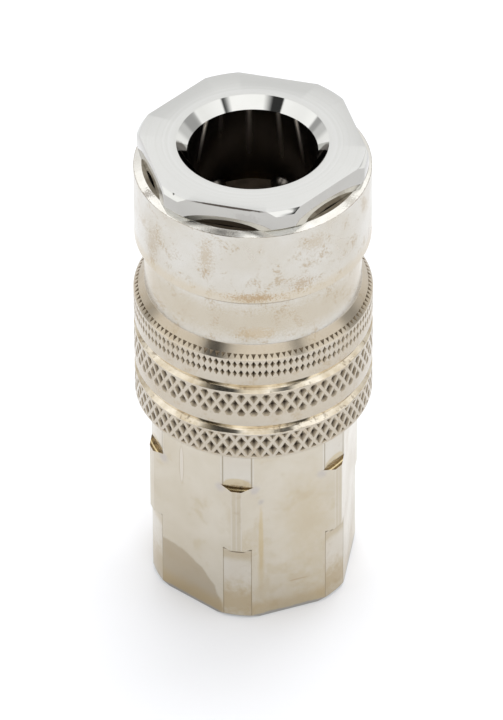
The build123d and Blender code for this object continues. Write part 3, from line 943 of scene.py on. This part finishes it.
@dataclass
class NoseBarrel:
    """The hexagon nose and its long tube, with the plug bore and the ball pockets."""

    top: float = 64.5
    flats: float = 25.4
    first_corner: float = 55.2
    nose_height: float = 2.95
    corner_radius: float = 14.05
    top_bevel: float = 0.57
    top_bevel_width: float = 0.45
    under_bevel: float = 0.55
    tube_radius: float = 10.38
    stub_radius: float = 9.6
    stub_length: float = 9.0
    adapter_top: float = 36.0
    bore_radius: float = 7.85
    mouth_chamfer: float = 1.3
    relief_depth: float = 10.9
    relief: float = 0.2
    ball_depth: float = 12.65
    ball_count: int = 6
    ball_turn: float = 13.4
    ball_track: float = 8.6375
    pocket_radius: float = 1.6575
    stop_depth: float = 17.5
    tip_radius: float = 6.2
    tip_guide: float = 1.5
    rear_bore_radius: float = 8.2
    dulled_below: float = 52.45
    steps: int = 192
    edge: float = 0.06
    margin: float = 0.3
    finishes: tuple[Finish, ...] = (BRIGHT_CHROME, FACED_CHROME, OILED_STEEL, DULLED_STEEL, FLAT_CHROME)

    def outline(self) -> list[Corner]:
        """Lists the outline's corners, from the rear end up the outside and down the bore.

        Returns:
            The closed outline.
        """
        under = self.top - self.nose_height
        stop = self.top - self.stop_depth
        relief_top = self.top - self.relief_depth
        pocket_low = relief_top - 2 * self.pocket_radius
        foot = self.adapter_top - self.stub_length
        return [
            (self.rear_bore_radius, foot),
            (self.stub_radius, foot),
            (self.stub_radius, self.adapter_top),
            (self.tube_radius, self.adapter_top),
            (self.tube_radius, under),
            (self.corner_radius - self.under_bevel, under),
            (self.corner_radius, under + self.under_bevel),
            (self.corner_radius, self.top - self.top_bevel),
            (self.corner_radius - self.top_bevel_width, self.top),
            (self.bore_radius + self.mouth_chamfer, self.top),
            (self.bore_radius, self.top - self.mouth_chamfer),
            (self.bore_radius, relief_top),
            (self.bore_radius + self.relief, relief_top - self.relief),
            (self.bore_radius + self.relief, self.dulled_below),
            (self.bore_radius + self.relief, pocket_low),
            (self.bore_radius, stop + self.bore_radius - self.tip_radius),
            (self.tip_radius, stop),
            (self.tip_radius, stop - self.tip_guide),
            (self.rear_bore_radius, stop - self.tip_guide),
        ]

    def build(self) -> bpy.types.Object:
        """Makes the piece.

        Returns:
            The barrel's object, with chrome outside, a faced top and an oiled bore.
        """
        mesh = turned(self.outline(), self.steps)
        mill_hexagon(mesh, self.flats, self.first_corner + 180 / HEXAGON_SIDES)
        ease_edges(mesh, self.edge, skip_within=self.bore_radius + self.mouth_chamfer + self.edge)
        paint(mesh, self.finishes, self.finish_at)
        piece = finished_piece(mesh, "barrel_with_hexagon_nose", Body.FIXED, self.finishes,
                               "nose_barrel")
        self.drill_pockets(piece)
        return piece

    def finish_at(self, face: Face) -> Finish:
        """Picks the finish: faced on top, hazy on the flats, oiled and further down dull in the bore.

        Args:
            face: a face of the solid.

        Returns:
            Its finish.
        """
        centre = face.calc_center_median()
        if centre.z > (self.top - self.edge / 4) * MM and face.normal.z > LEVEL:
            return FACED_CHROME
        widest = max(vert.co.xy.length for vert in face.verts)
        inside = widest < (self.rear_bore_radius + self.margin) * MM
        if inside and centre.z < (self.top - self.mouth_chamfer) * MM:
            return DULLED_STEEL if centre.z < self.dulled_below * MM else OILED_STEEL
        on_nose = centre.xy.length > (self.tube_radius + self.margin) * MM
        return FLAT_CHROME if on_nose and abs(face.normal.z) < STEEP else BRIGHT_CHROME

    def drill_pockets(self, piece: bpy.types.Object) -> None:
        """Cuts the six ball pockets: round seats that open outwards.

        Args:
            piece: the barrel's object.
        """
        cutter = bmesh.new()
        for ball in range(self.ball_count):
            out = Vector(round_axis(1.0, self.ball_turn + ball * 360 / self.ball_count, 0.0))
            seat = out * self.ball_track * MM + UP * (self.top - self.ball_depth) * MM
            pocket = self.pocket()
            pocket.transform(Matrix.Translation(seat) @ out.to_track_quat("Z", "Y").to_matrix().to_4x4())
            take_in(cutter, pocket)
        pockets = shown("pocket_cutter", stored(cutter, "pocket_cutter"))
        cut = piece.modifiers.new("pockets", "BOOLEAN")
        cut.operation = "DIFFERENCE"
        cut.solver = "EXACT"
        cut.object = pockets
        view = bpy.context.evaluated_depsgraph_get()
        finished = bpy.data.meshes.new_from_object(piece.evaluated_get(view))
        piece.modifiers.clear()
        finished.set_sharp_from_angle(angle=math.radians(SMOOTH_BELOW))
        piece.data = finished
        bpy.data.objects.remove(pockets)

    def pocket(self) -> Mesh:
        """Makes the cutter for one pocket: a half ball at the origin that runs on as a rod along +Z.

        Returns:
            The closed cutter.
        """
        mesh = bmesh.new()
        bmesh.ops.create_uvsphere(mesh, u_segments=32, v_segments=16, radius=self.pocket_radius * MM)
        slice_off(mesh, Vector(), UP)
        rim = [edge for edge in mesh.edges if edge.is_boundary]
        drawn = bmesh.ops.extrude_edge_only(mesh, edges=rim)["geom"]
        moved = [piece for piece in drawn if isinstance(piece, Vert)]
        bmesh.ops.translate(mesh, verts=moved, vec=UP * self.ball_track * MM)
        fill_openings(mesh)
        bmesh.ops.recalc_face_normals(mesh, faces=mesh.faces[:])
        return mesh


@dataclass(frozen=True)
class KnurlBand:
    """One band of crossed knurling: raised grid lines round recessed pyramids.

    Heights are those of the band's upper and lower edge, and a row is half a diamond high.
    """

    top: float
    bottom: float
    edge: KnurlEdge
    rows: int = 3
    columns: int = 60
    land: float = 0.38
    depth: float = 0.46

    def sheet(self, radius: float, ring_steps: int, turn: float) -> Mesh:
        """Makes the knurled skin, with as many corners on its two edges as the turned body has.

        Args:
            radius: of the raised lines, in millimetres.
            ring_steps: facets round the turned body.
            turn: angle of a column of pits, in degrees.

        Returns:
            The open skin, facing outwards.
        """
        row = (self.top - self.bottom) / self.rows
        first = self.top + self.edge.value * row
        cells = math.ceil((self.rows + 2 * self.edge.value) / 2)
        levels = [first - 2 * row * level for level in range(cells + 1)]
        mesh = turned([(radius, level) for level in levels], self.columns, turn, closed=False)
        grid = [edge for edge in mesh.edges if not edge.is_boundary]
        bmesh.ops.poke(mesh, faces=mesh.faces[:])
        bmesh.ops.dissolve_edges(mesh, edges=grid, use_verts=False)
        slice_off(mesh, UP * self.top * MM, UP)
        slice_off(mesh, UP * self.bottom * MM, -UP)
        press_to_radius(mesh.verts, radius)
        sink_pits(mesh, mesh.faces[:], self.land, self.depth, diamond_reach(radius, self.columns, row))
        split_rims(mesh, ring_steps)
        return mesh


@dataclass(frozen=True)
class PitBand:
    """The fine band: straight columns of small pits, each second column smaller.

    The lower rows are whole. One more row lies on the bevel above them, cut through its middle by the
    bevel's upper edge. The slack is how far off its place a corner may be, as a share of a row.
    """

    top: float = 42.5
    bottom: float = 39.75
    rows: int = 2
    columns: int = 120
    bevel_row: float = 0.6
    land: float = 0.09
    small_land: float = 0.15
    depth: float = 0.36
    slack: float = 0.25

    @property
    def bevel_top(self) -> float:
        """The height at which the row on the bevel is cut off."""
        return self.top + self.bevel_row

    def sheet(self, radius: float, ring_steps: int, turn: float) -> Mesh:
        """Makes the pitted skin, with as many corners on its two edges as the turned body has.

        Args:
            radius: of the smooth surface, in millimetres.
            ring_steps: facets round the turned body.
            turn: angle of a column of pits, in degrees.

        Returns:
            The open skin, facing outwards.
        """
        row = (self.top - self.bottom) / self.rows
        profile = [(radius - 2 * self.bevel_row, self.top + 2 * self.bevel_row)]
        profile += [(radius, self.top - row * level) for level in range(self.rows + 1)]
        mesh = turned(profile, self.columns, turn, closed=False)
        upright = [edge for edge in mesh.edges if abs(edge.verts[0].co.z - edge.verts[1].co.z) > WELD]
        level = [
            edge for edge in mesh.edges
            if edge not in upright and not edge.is_boundary and edge.verts[0].co.z < (self.top - row / 2) * MM
        ]
        middles = bmesh.ops.poke(mesh, faces=mesh.faces[:])["verts"]
        on_bevel = [vert for vert in middles if vert.co.z > self.top * MM]
        for vert in on_bevel:
            vert.co.z = self.bevel_top * MM
        press_to_radius(on_bevel, radius - self.bevel_row)
        bmesh.ops.dissolve_edges(mesh, edges=upright + level, use_verts=False)
        slice_off(mesh, UP * self.bevel_top * MM, UP)
        press_to_radius([vert for vert in mesh.verts if vert.co.z < self.top * MM], radius)
        pits = [face for face in mesh.faces if self.is_pit(face, row)]
        large = [face for face in pits if self.column_of(face, turn) % 2 == 0]
        small = [face for face in pits if face not in large]
        reach = diamond_reach(radius, self.columns, row / 2)
        for group, land in ((large, self.land), (small, self.small_land)):
            cut = [face for face in group if len(face.verts) == 3]
            whole = [face for face in group if face not in cut]
            sink_pits(mesh, cut, land, self.depth / 2, reach)
            sink_pits(mesh, whole, land, self.depth, reach)
        split_rims(mesh, ring_steps)
        return mesh

    def is_pit(self, face: Face, row: float) -> bool:
        """Tells a whole diamond of a row, or the lower half of one on the bevel, from the land between.

        Args:
            face: a face of the skin.
            row: height of one row, in millimetres.

        Returns:
            Whether the face becomes a pit.
        """
        levels = [vert.co.z / MM for vert in face.verts]
        slack = self.slack * self.bevel_row
        if min(levels) > self.top - self.slack * row:
            on_edge = [level for level in levels if level > self.bevel_top - slack]
            return len(levels) == 3 and len(on_edge) == 2 and min(levels) < self.top + slack
        rows_down = (self.top - (max(levels) + min(levels)) / 2) / row - 0.5
        return len(levels) == 4 and abs(rows_down - round(rows_down)) < self.slack

    def column_of(self, face: Face, turn: float) -> int:
        """Gives the number of the column that a face stands in."""
        centre = face.calc_center_median()
        return round((math.atan2(centre.y, centre.x) - math.radians(turn)) / (math.tau / self.columns))


def diamond_reach(radius: float, columns: int, half_height: float) -> float:
    """Gives the mean distance from a diamond's centre to its corners, in millimetres."""
    return (math.pi * radius / columns + half_height) / 2


def press_to_radius(corners: Iterable[Vert], radius: float) -> None:
    """Moves corners out or in to a cylinder round the axis.

    Args:
        corners: the vertices.
        radius: of the cylinder, in millimetres.
    """
    for corner in corners:
        reach = radius * MM / corner.co.xy.length
        corner.co.x *= reach
        corner.co.y *= reach


def sink_pits(mesh: Mesh, faces: list[Face], land: float, depth: float, reach: float) -> None:
    """Leaves a flat land round each face and sinks its middle to a point.

    Args:
        mesh: the skin.
        faces: the faces that become pits.
        land: width of the flat between two pits, in millimetres.
        depth: of a whole pit, in millimetres. A cut one is shallower in proportion.
        reach: mean distance from a whole face's centre to its corners, in millimetres.
    """
    mesh.normal_update()
    bmesh.ops.inset_individual(mesh, faces=faces, thickness=land / 2 * MM, depth=0.0, use_even_offset=True)
    middles = bmesh.ops.poke(mesh, faces=faces)["verts"]
    mesh.normal_update()
    for middle in middles:
        spread = sum(edge.calc_length() for edge in middle.link_edges) / len(middle.link_edges)
        middle.co -= middle.normal * depth * spread / reach


def split_rims(mesh: Mesh, ring_steps: int) -> None:
    """Divides the skin's two open edges evenly, so that they weld to the turned body.

    Args:
        mesh: the skin.
        ring_steps: facets round the turned body.
    """
    step = math.tau / ring_steps
    rims: dict[tuple[int, float], list[bmesh.types.BMEdge]] = {}
    for edge in mesh.edges:
        if edge.is_boundary:
            reach = edge.verts[0].co.xy.length
            share = round(edge.calc_length() / (reach * step))
            rims.setdefault((share, round(reach / MM, 3)), []).append(edge)
    for (share, radius), edges in rims.items():
        if share > 1:
            split = bmesh.ops.subdivide_edges(mesh, edges=edges, cuts=share - 1)
            press_to_radius([piece for piece in split["geom_inner"] if isinstance(piece, Vert)], radius)


@dataclass
class Sleeve:
    """The pull-back sleeve: smooth band, bare neck, a pitted collar and two knurled bands between grooves."""

    low: float
    high: float
    knurl_radius: float
    skirt_bore: float = 13.1
    lip: float = 0.06
    step_height: float = 41.5
    spring_bore: float = 12.1
    land_low: float = 50.0
    land_high: float = 52.35
    land_radius: float = 10.45
    recess_radius: float = 11.325
    ramp_top: float = 54.754
    rim_bore: float = 12.77
    rim_bevel_height: float = 0.32
    rim_bevel_width: float = 0.98
    band_radius: float = 14.3
    band_bottom: float = 51.2
    neck_radius: float = 13.15
    neck_bottom: float = 43.85
    groove_tops: tuple[float, float] = (32.3, 38.72)
    groove_depth: float = 0.57
    groove_upper_drop: float = 0.97
    groove_drop: float = 1.37
    edge: float = 0.05
    margin: float = 0.1
    pit_start: float = 0.06
    ring_steps: int = 240
    knurl_turn: float = -80.6
    pits: PitBand = PitBand()
    knurls: tuple[KnurlBand, KnurlBand] = (
        KnurlBand(top=30.87, bottom=27.22, edge=KnurlEdge.THROUGH_ROW),
        KnurlBand(top=37.29, bottom=33.59, edge=KnurlEdge.BETWEEN_ROWS),
    )
    finishes: tuple[Finish, ...] = (
        SATIN_NICKEL, OILED_STEEL, SOILED_SHADED_NICKEL, GROOVE_NICKEL, OILED_SHADED_RIM, BURNISHED_NICKEL, DULL_PITS,
    )

    @classmethod
    def from_frame(cls) -> "Sleeve":
        """Takes the height and the knurl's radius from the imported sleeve."""
        low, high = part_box("sleeve")
        return cls(low=low.z / MM, high=high.z / MM, knurl_radius=round(high.x / MM, 2))

    def outline(self) -> list[Corner]:
        """Lists the outline's corners, from the skirt up the outside and down the inside.

        Returns:
            The closed outline.
        """
        wide = self.knurl_radius
        corners = [(wide - self.lip, self.low), (wide, self.low + self.lip)]
        for knurl, groove in zip(self.knurls, self.groove_tops):
            corners += [
                (wide, knurl.bottom),
                (wide, knurl.top),
                (wide, groove - self.groove_drop),
                (wide - self.groove_depth, groove - self.groove_upper_drop),
                (wide, groove),
            ]
        return corners + [
            (wide, self.pits.bottom),
            (wide, self.pits.top),
            (wide - self.pits.bevel_row, self.pits.bevel_top),
            (self.neck_radius, self.neck_bottom),
            (self.neck_radius, self.band_bottom),
            (self.band_radius, self.band_bottom),
            (self.band_radius, self.high - self.rim_bevel_height),
            (self.band_radius - self.rim_bevel_width, self.high),
            (self.rim_bore, self.high),
            (self.recess_radius, self.high - self.rim_bore + self.recess_radius),
            (self.recess_radius, self.ramp_top),
            (self.land_radius, self.land_high),
            (self.land_radius, self.land_low),
            (self.spring_bore, self.land_low),
            (self.spring_bore, self.step_height),
            (self.skirt_bore, self.step_height),
            (self.skirt_bore, self.low),
        ]

    def build(self) -> bpy.types.Object:
        """Makes the piece.

        Returns:
            The sleeve's object, satin nickel outside and oiled steel inside.
        """
        mesh = turned(self.outline(), self.ring_steps, self.knurl_turn)
        kept_sharp = {round(level * 1000) for level in (self.pits.top, self.pits.bevel_top)}
        ease_edges(mesh, self.edge, skip_levels=kept_sharp)
        outside = (self.knurl_radius - self.pits.bevel_row - self.edge) * MM
        plain = [
            face for face in mesh.faces
            if self.in_band(face.calc_center_median().z / MM)
            and face.calc_center_median().xy.length > outside
        ]
        bmesh.ops.delete(mesh, geom=plain, context="FACES")
        for band in (self.knurls[1], self.knurls[0], self.pits):
            take_in(mesh, band.sheet(self.knurl_radius, self.ring_steps, self.knurl_turn))
        paint(welded(mesh), self.finishes, self.finish_at)
        return finished_piece(mesh, "pull_back_sleeve", Body.SLEEVE, self.finishes,
                              "sleeve", smooth_below=12.0)

    def finish_at(self, face: Face) -> Finish:
        """Picks the finish: oiled inside, and the rim, the pits and the grooves have their own.

        Args:
            face: a face of the solid.

        Returns:
            Its finish.
        """
        centre = face.calc_center_median()
        height = centre.z / MM
        outwards = centre.xy.normalized().dot(face.normal.xy)
        rim_land = (self.band_radius - self.rim_bevel_width + self.edge) * MM
        if centre.xy.length < rim_land and outwards < OUTER:
            on_rim = height > self.ramp_top and centre.xy.length > (self.recess_radius + self.margin) * MM
            return OILED_SHADED_RIM if on_rim else OILED_STEEL
        if height > self.high - self.rim_bevel_height:
            return BURNISHED_NICKEL
        if self.in_band(height) and self.sunk(face) > self.pit_start:
            return DULL_PITS if height > self.pits.top else SOILED_SHADED_NICKEL
        in_groove = any(top - self.groove_drop < height < top for top in self.groove_tops)
        return GROOVE_NICKEL if in_groove else SATIN_NICKEL

    def in_band(self, height: float) -> bool:
        """Tells whether a height lies in one of the knurled or pitted bands."""
        knurled = any(knurl.bottom < height < knurl.top for knurl in self.knurls)
        return knurled or self.pits.bottom < height < self.pits.bevel_top

    def sunk(self, face: Face) -> float:
        """Gives how far the deepest corner of a face lies below the smooth surface.

        Args:
            face: a face of the solid.

        Returns:
            The depth in millimetres.
        """
        return max(
            self.knurl_radius - max(0.0, vert.co.z / MM - self.pits.top) - vert.co.xy.length / MM
            for vert in face.verts
        )


@dataclass
class Adapter:
    """The rear hexagon: turned corners, a shoulder cone, and the pipe port through it."""

    length: float
    flats: float
    corner_radius: float = 13.38
    front_radius: float = 12.72
    rear_radius: float = 12.84
    rear_length: float = 11.1
    shoulder_foot: float = 20.64
    shoulder_top: float = 21.02
    foot_chamfer: float = 0.35
    thread_radius: float = 9.65
    thread_floor: float = 25.5
    guide_radius: float = 6.9
    guide_floor: float = 18.0
    passage_radius: float = 6.2
    port_radius: float = 7.35
    port_length: float = 12.5
    port_countersink: float = 0.7
    steps: int = 192
    edge: float = 0.07
    finishes: tuple[Finish, ...] = (CLOUDED_NICKEL, TURNED_NICKEL, SOILED_SHOULDER)

    @classmethod
    def from_frame(cls) -> "Adapter":
        """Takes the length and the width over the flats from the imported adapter."""
        low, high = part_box("adapter")
        return cls(length=high.z / MM, flats=round((high.x - low.x) / MM, 2))

    def outline(self) -> list[Corner]:
        """Lists the outline's corners, from the foot up the outside and down the port.

        Returns:
            The closed outline.
        """
        return [
            (self.rear_radius - self.foot_chamfer, 0.0),
            (self.rear_radius, self.foot_chamfer),
            (self.rear_radius, self.rear_length),
            (self.corner_radius, self.rear_length),
            (self.corner_radius, self.shoulder_foot),
            (self.front_radius, self.shoulder_top),
            (self.front_radius, self.length - self.foot_chamfer),
            (self.front_radius - self.foot_chamfer, self.length),
            (self.thread_radius, self.length),
            (self.thread_radius, self.thread_floor),
            (self.guide_radius, self.thread_floor),
            (self.guide_radius, self.guide_floor),
            (self.passage_radius, self.guide_floor),
            (self.passage_radius, self.port_length),
            (self.port_radius, self.port_length),
            (self.port_radius, self.port_countersink),
            (self.port_radius + self.port_countersink, 0.0),
        ]

    def build(self) -> bpy.types.Object:
        """Makes the piece.

        Returns:
            The adapter's object in clouded nickel.
        """
        mesh = turned(self.outline(), self.steps)
        mill_hexagon(mesh, self.flats, 0.0)
        ease_edges(mesh, self.edge, above_angle=18.0)
        mesh.normal_update()
        paint(mesh, self.finishes, self.finish_at)
        return finished_piece(mesh, "rear_hexagon_adapter", Body.FIXED, self.finishes,
                              "adapter", smooth_below=5.0)

    def finish_at(self, face: Face) -> Finish:
        """Picks the finish: the turned corners and the shoulder cones have their own.

        Args:
            face: a face of the solid.

        Returns:
            Its finish.
        """
        nearest = min(vert.co.xy.length for vert in face.verts) / MM
        if nearest < self.flats / 2 + self.edge * 2:
            return CLOUDED_NICKEL
        height = face.calc_center_median().z / MM
        cone = self.shoulder_foot - self.edge < height < self.shoulder_top + self.edge
        return SOILED_SHOULDER if cone and face.normal.z > SLOPED else TURNED_NICKEL


@dataclass
class CoilSpring:
    """A round-wire compression spring, ground flat at both ends."""

    node: str
    body: Body
    joint: str
    stroke: float
    wire: float
    turns: float
    wire_sides: int = 12
    steps_per_turn: int = 36

    def build(self) -> bpy.types.Object:
        """Makes the piece in the place of its CAD node.

        Returns:
            The spring's object.
        """
        low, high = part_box(self.node)
        height = high.z - low.z
        mean = high.x - self.wire / 2 * MM
        mesh = bmesh.new()
        lie = Matrix.Translation((mean, 0.0, low.z)) @ Matrix.Rotation(math.radians(90), 4, "X")
        bmesh.ops.create_circle(
            mesh, cap_ends=True, segments=self.wire_sides, radius=self.wire / 2 * MM, matrix=lie,
        )
        steps = round(self.turns * self.steps_per_turn)
        bmesh.ops.spin(
            mesh, geom=mesh.faces[:], cent=(0, 0, 0), axis=UP, dvec=UP * height / steps,
            angle=math.tau * self.turns, steps=steps, use_duplicate=False,
        )
        for level, outwards in ((low.z, -UP), (high.z, UP)):
            slice_off(mesh, UP * level, outwards, WELD / 10)
            fill_openings(mesh)
        bmesh.ops.recalc_face_normals(mesh, faces=mesh.faces[:])
        piece = finished_piece(mesh, f"{self.node}_coil", self.body, [DRAWN_WIRE], self.node,
                               smooth_below=40.0)
        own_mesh(piece)
        return piece


@dataclass
class InnerPieces:
    """The seals, valve, washers and balls, whose CAD shapes stay and get their finishes."""

    finishes: Mapping[str, Finish] = field(default_factory=lambda: {
        "spring_steel": DRAWN_WIRE,
        "nitrile_rubber": NITRILE,
        "turned_brass": TURNED_BRASS,
        "ball_steel": GROUND_STEEL,
        "chromed_steel": BRIGHT_CHROME,
        "nickel_plated_steel": SATIN_NICKEL,
        "nickel_plated_brass": CLOUDED_NICKEL,
    })

    def dress(self) -> None:
        """Puts on each CAD node the finish that the record's slot calls for."""
        for part in frame["record"]["subparts"]:
            node = frame["nodes"][part["node"]]
            finish = self.finishes[part["material_slot"]]
            node.data.materials.clear()
            node.data.materials.append(finish.material())
            log.info("%s: dressed in %s", part["node"], finish.name)


@dataclass
class Studio:
    """A white table in a soft white tent, with the dark gaps that chrome needs to look like chrome.

    Each ring gives the tent's brightness by the angle in degrees from the front, to the right. The
    blends are the sines of the elevations between which one ring passes into the next.
    """

    table_size: float = 6000.0
    table_drop: float = 0.03
    table_colour: str = "#e2e3e6"
    table_lift: float = 0.1
    facing: float = 9.4
    tent_level: float = 1.0
    horizon_level: float = 1.35
    horizon_blend: Span = (0.14, 0.24)
    lamp_azimuth: float = 168.0
    lamp_elevation: float = 56.0
    lamp_spread: float = 50.0
    lamp_level: float = 1.15
    low_ring: tuple[Span, ...] = (
        (-180, 0.9), (-116, 0.9), (-113, 0.55), (-107, 0.55), (-104, 1.55), (-54, 1.55), (-52, 0.05),
        (-36, 0.05), (-20, 1.6), (24, 1.6), (38, 0.12), (51, 0.05), (54, 1.55), (93, 1.55), (96, 0.55),
        (112, 0.55), (116, 0.9), (180, 0.9),
    )
    high_ring: tuple[Span, ...] = (
        (-180, 1.2), (-104, 1.35), (-54, 1.55), (-52, 0.05), (-36, 0.05), (-20, 1.6), (38, 1.6), (47, 0.3),
        (51, 0.05), (54, 1.55), (93, 1.35), (180, 1.2),
    )
    high_blend: Span = (0.45, 0.6)
    crown_ring: tuple[Span, ...] = (
        (-180, 1.3), (-172, 1.3), (-164, 0.15), (-148, 0.15), (-143, 1.3), (-72, 1.3), (-64, 0.06),
        (-26, 0.06), (-16, 1.35), (22, 1.35), (40, 0.25), (50, 0.06), (58, 1.3), (180, 1.3),
    )
    crown_blend: Span = (0.8, 0.88)

    def build(self) -> None:
        """Makes the table, the tent and the lamp over it."""
        self.table()
        self.tent()
        self.lamp()

    def lamp(self) -> None:
        """Makes the soft lamp behind the coupling, which adds light but no highlight or mirror image."""
        turn, tilt = math.radians(self.facing + self.lamp_azimuth), math.radians(self.lamp_elevation)
        towards = Vector((math.sin(turn), -math.cos(turn), 0.0)) * math.cos(tilt) + UP * math.sin(tilt)
        data = bpy.data.lights.new("soft_back_lamp", "SUN")
        data.energy = self.lamp_level
        data.angle = math.radians(self.lamp_spread)
        data.specular_factor = 0.0
        lamp = shown("soft_back_lamp", data)
        lamp.rotation_euler = towards.to_track_quat("Z", "Y").to_euler()
        lamp.visible_glossy = False

    def table(self) -> None:
        """Makes the table, whose paper stays bright where the eye or metal looks at it."""
        mesh = bmesh.new()
        bmesh.ops.create_grid(mesh, x_segments=1, y_segments=1, size=self.table_size / 2 * MM,
                              matrix=Matrix.Translation(-UP * self.table_drop * MM))
        table = shown("studio_table", stored(mesh, "studio_table"))
        paper = emptied(bpy.data.materials.new("white_paper_sweep"))
        rays = add_node(paper, "ShaderNodeLightPath").outputs
        seen = add_node(paper, "ShaderNodeMath", {"operation": "MAXIMUM"}, {
            0: rays["Is Camera Ray"], 1: rays["Is Glossy Ray"],
        }).outputs[0]
        seen = add_node(paper, "ShaderNodeMath", {"operation": "MAXIMUM"}, {
            0: seen, 1: rays["Is Transmission Ray"],
        }).outputs[0]
        lift = add_node(paper, "ShaderNodeMath", {"operation": "MULTIPLY"}, {0: seen, 1: self.table_lift})
        glow = add_node(paper, "ShaderNodeEmission", links={"Strength": lift.outputs[0]})
        matt = add_node(paper, "ShaderNodeBsdfDiffuse", links={"Color": srgb(self.table_colour)})
        both = add_node(paper, "ShaderNodeAddShader", links={0: glow.outputs[0], 1: matt.outputs[0]})
        add_node(paper, "ShaderNodeOutputMaterial", links={"Surface": both.outputs[0]})
        table.data.materials.append(paper)

    def tent(self) -> None:
        """Makes the world: white panels round and above the table, with dark gaps between them."""
        world = emptied(bpy.data.worlds.new("white_tent"))
        bpy.context.scene.world = world
        direction = add_node(world, "ShaderNodeTexCoord").outputs["Generated"]
        turned_to = add_node(world, "ShaderNodeVectorRotate", {"rotation_type": "Z_AXIS"}, {
            "Vector": direction, "Angle": -math.radians(self.facing),
        }).outputs[0]
        axes = add_node(world, "ShaderNodeSeparateXYZ", links={"Vector": turned_to}).outputs
        towards = add_node(world, "ShaderNodeMath", {"operation": "MULTIPLY"}, {0: axes["Y"], 1: -1.0})
        angle = add_node(world, "ShaderNodeMath", {"operation": "ARCTAN2"}, {
            0: axes["X"], 1: towards.outputs[0],
        }).outputs[0]
        share = add_node(world, "ShaderNodeMath", {"operation": "MULTIPLY_ADD"}, {
            0: angle, 1: 1 / math.tau, 2: 0.5,
        }).outputs[0]
        low, high, crown = (self.ring(world, share, ring) for ring in (
            self.low_ring, self.high_ring, self.crown_ring))
        colour = self.blend(world, axes["Z"], self.high_blend, low, high)
        colour = self.blend(world, axes["Z"], self.crown_blend, colour, crown)
        colour = self.blend(world, axes["Z"], self.horizon_blend, grey(self.horizon_level), colour)
        glow = add_node(world, "ShaderNodeBackground", links={"Color": colour, "Strength": self.tent_level})
        add_node(world, "ShaderNodeOutputWorld", links={"Surface": glow.outputs[0]})

    def ring(self, world: bpy.types.World, share: Socket, levels: Sequence[Span]) -> Socket:
        """Makes the tent's panels at one height.

        Args:
            world: the world.
            share: direction round the tent, from 0 to 1, with the front at 0.5.
            levels: brightness by the angle in degrees from the front, to the right.

        Returns:
            The panels' colour.
        """
        panels = add_node(world, "ShaderNodeValToRGB", links={"Fac": share})
        stops = panels.color_ramp.elements
        stops.remove(stops[-1])
        for angle, level in levels[1:]:
            stops.new(angle / 360 + 0.5).color = grey(level)
        stops[0].color = grey(levels[0][1])
        return panels.outputs["Color"]

    def blend(self, world: bpy.types.World, height: Socket, span: Span, below: Socket | Colour,
              above: Socket | Colour) -> Socket:
        """Passes from one colour to another between two heights of the tent.

        Args:
            world: the world.
            height: the sine of the elevation.
            span: where the lower colour ends and where the upper one starts.
            below: the lower colour.
            above: the upper colour.

        Returns:
            The blended colour.
        """
        share = add_node(world, "ShaderNodeMapRange", {"interpolation_type": "SMOOTHSTEP"}, {
            "Value": height, "From Min": span[0], "From Max": span[1],
        }).outputs["Result"]
        return mix_colour(world, share, below, above)


@dataclass(frozen=True)
class TableCamera:
    """A long lens that looks down on the coupling from in front. The clipping planes are in metres."""

    azimuth: float = 9.4
    elevation: float = 39.747
    roll: float = -0.251
    distance: float = 1020.0
    aim_right: float = -0.247
    aim_height: float = 30.589
    lens: float = 418.5
    sensor: float = 36.0
    nearest: float = 0.05
    farthest: float = 20.0

    def build(self) -> bpy.types.Object:
        """Makes the camera and gives it to the scene.

        Returns:
            The camera's object.
        """
        turn, tilt, roll = (math.radians(angle) for angle in (self.azimuth, self.elevation, self.roll))
        level = Vector((math.cos(turn), math.sin(turn), 0.0))
        nearer = Vector((math.sin(turn), -math.cos(turn), 0.0))
        back = nearer * math.cos(tilt) + UP * math.sin(tilt)
        upright = UP * math.cos(tilt) - nearer * math.sin(tilt)
        right = level * math.cos(roll) + upright * math.sin(roll)
        over = upright * math.cos(roll) - level * math.sin(roll)
        place = level * self.aim_right + UP * self.aim_height + back * self.distance
        data = bpy.data.cameras.new("table_camera")
        data.lens = self.lens
        data.sensor_width = self.sensor
        data.clip_start = self.nearest
        data.clip_end = self.farthest
        camera = shown("table_camera", data)
        facing = Matrix((right, over, back)).transposed().to_4x4()
        camera.matrix_world = Matrix.Translation(place * MM) @ facing
        bpy.context.scene.camera = camera
        return camera


def main() -> None:
    """Builds the studio, the camera and the coupling's pieces in order."""
    logging.basicConfig(level=logging.INFO, format="%(message)s")
    bpy.context.scene.view_settings.view_transform = "Standard"
    TableCamera().build()
    Studio().build()
    InnerPieces().dress()
    NoseBarrel().build()
    Sleeve.from_frame().build()
    Adapter.from_frame().build()
    CoilSpring("sleeve_spring", Body.SPRING, "sleeve_slide", stroke=5.2, wire=1.0, turns=5.5).build()
    CoilSpring("valve_spring", Body.FIXED, "valve_slide", stroke=3.2, wire=0.8, turns=7.5).build()


if __name__ == "__main__":
    main()
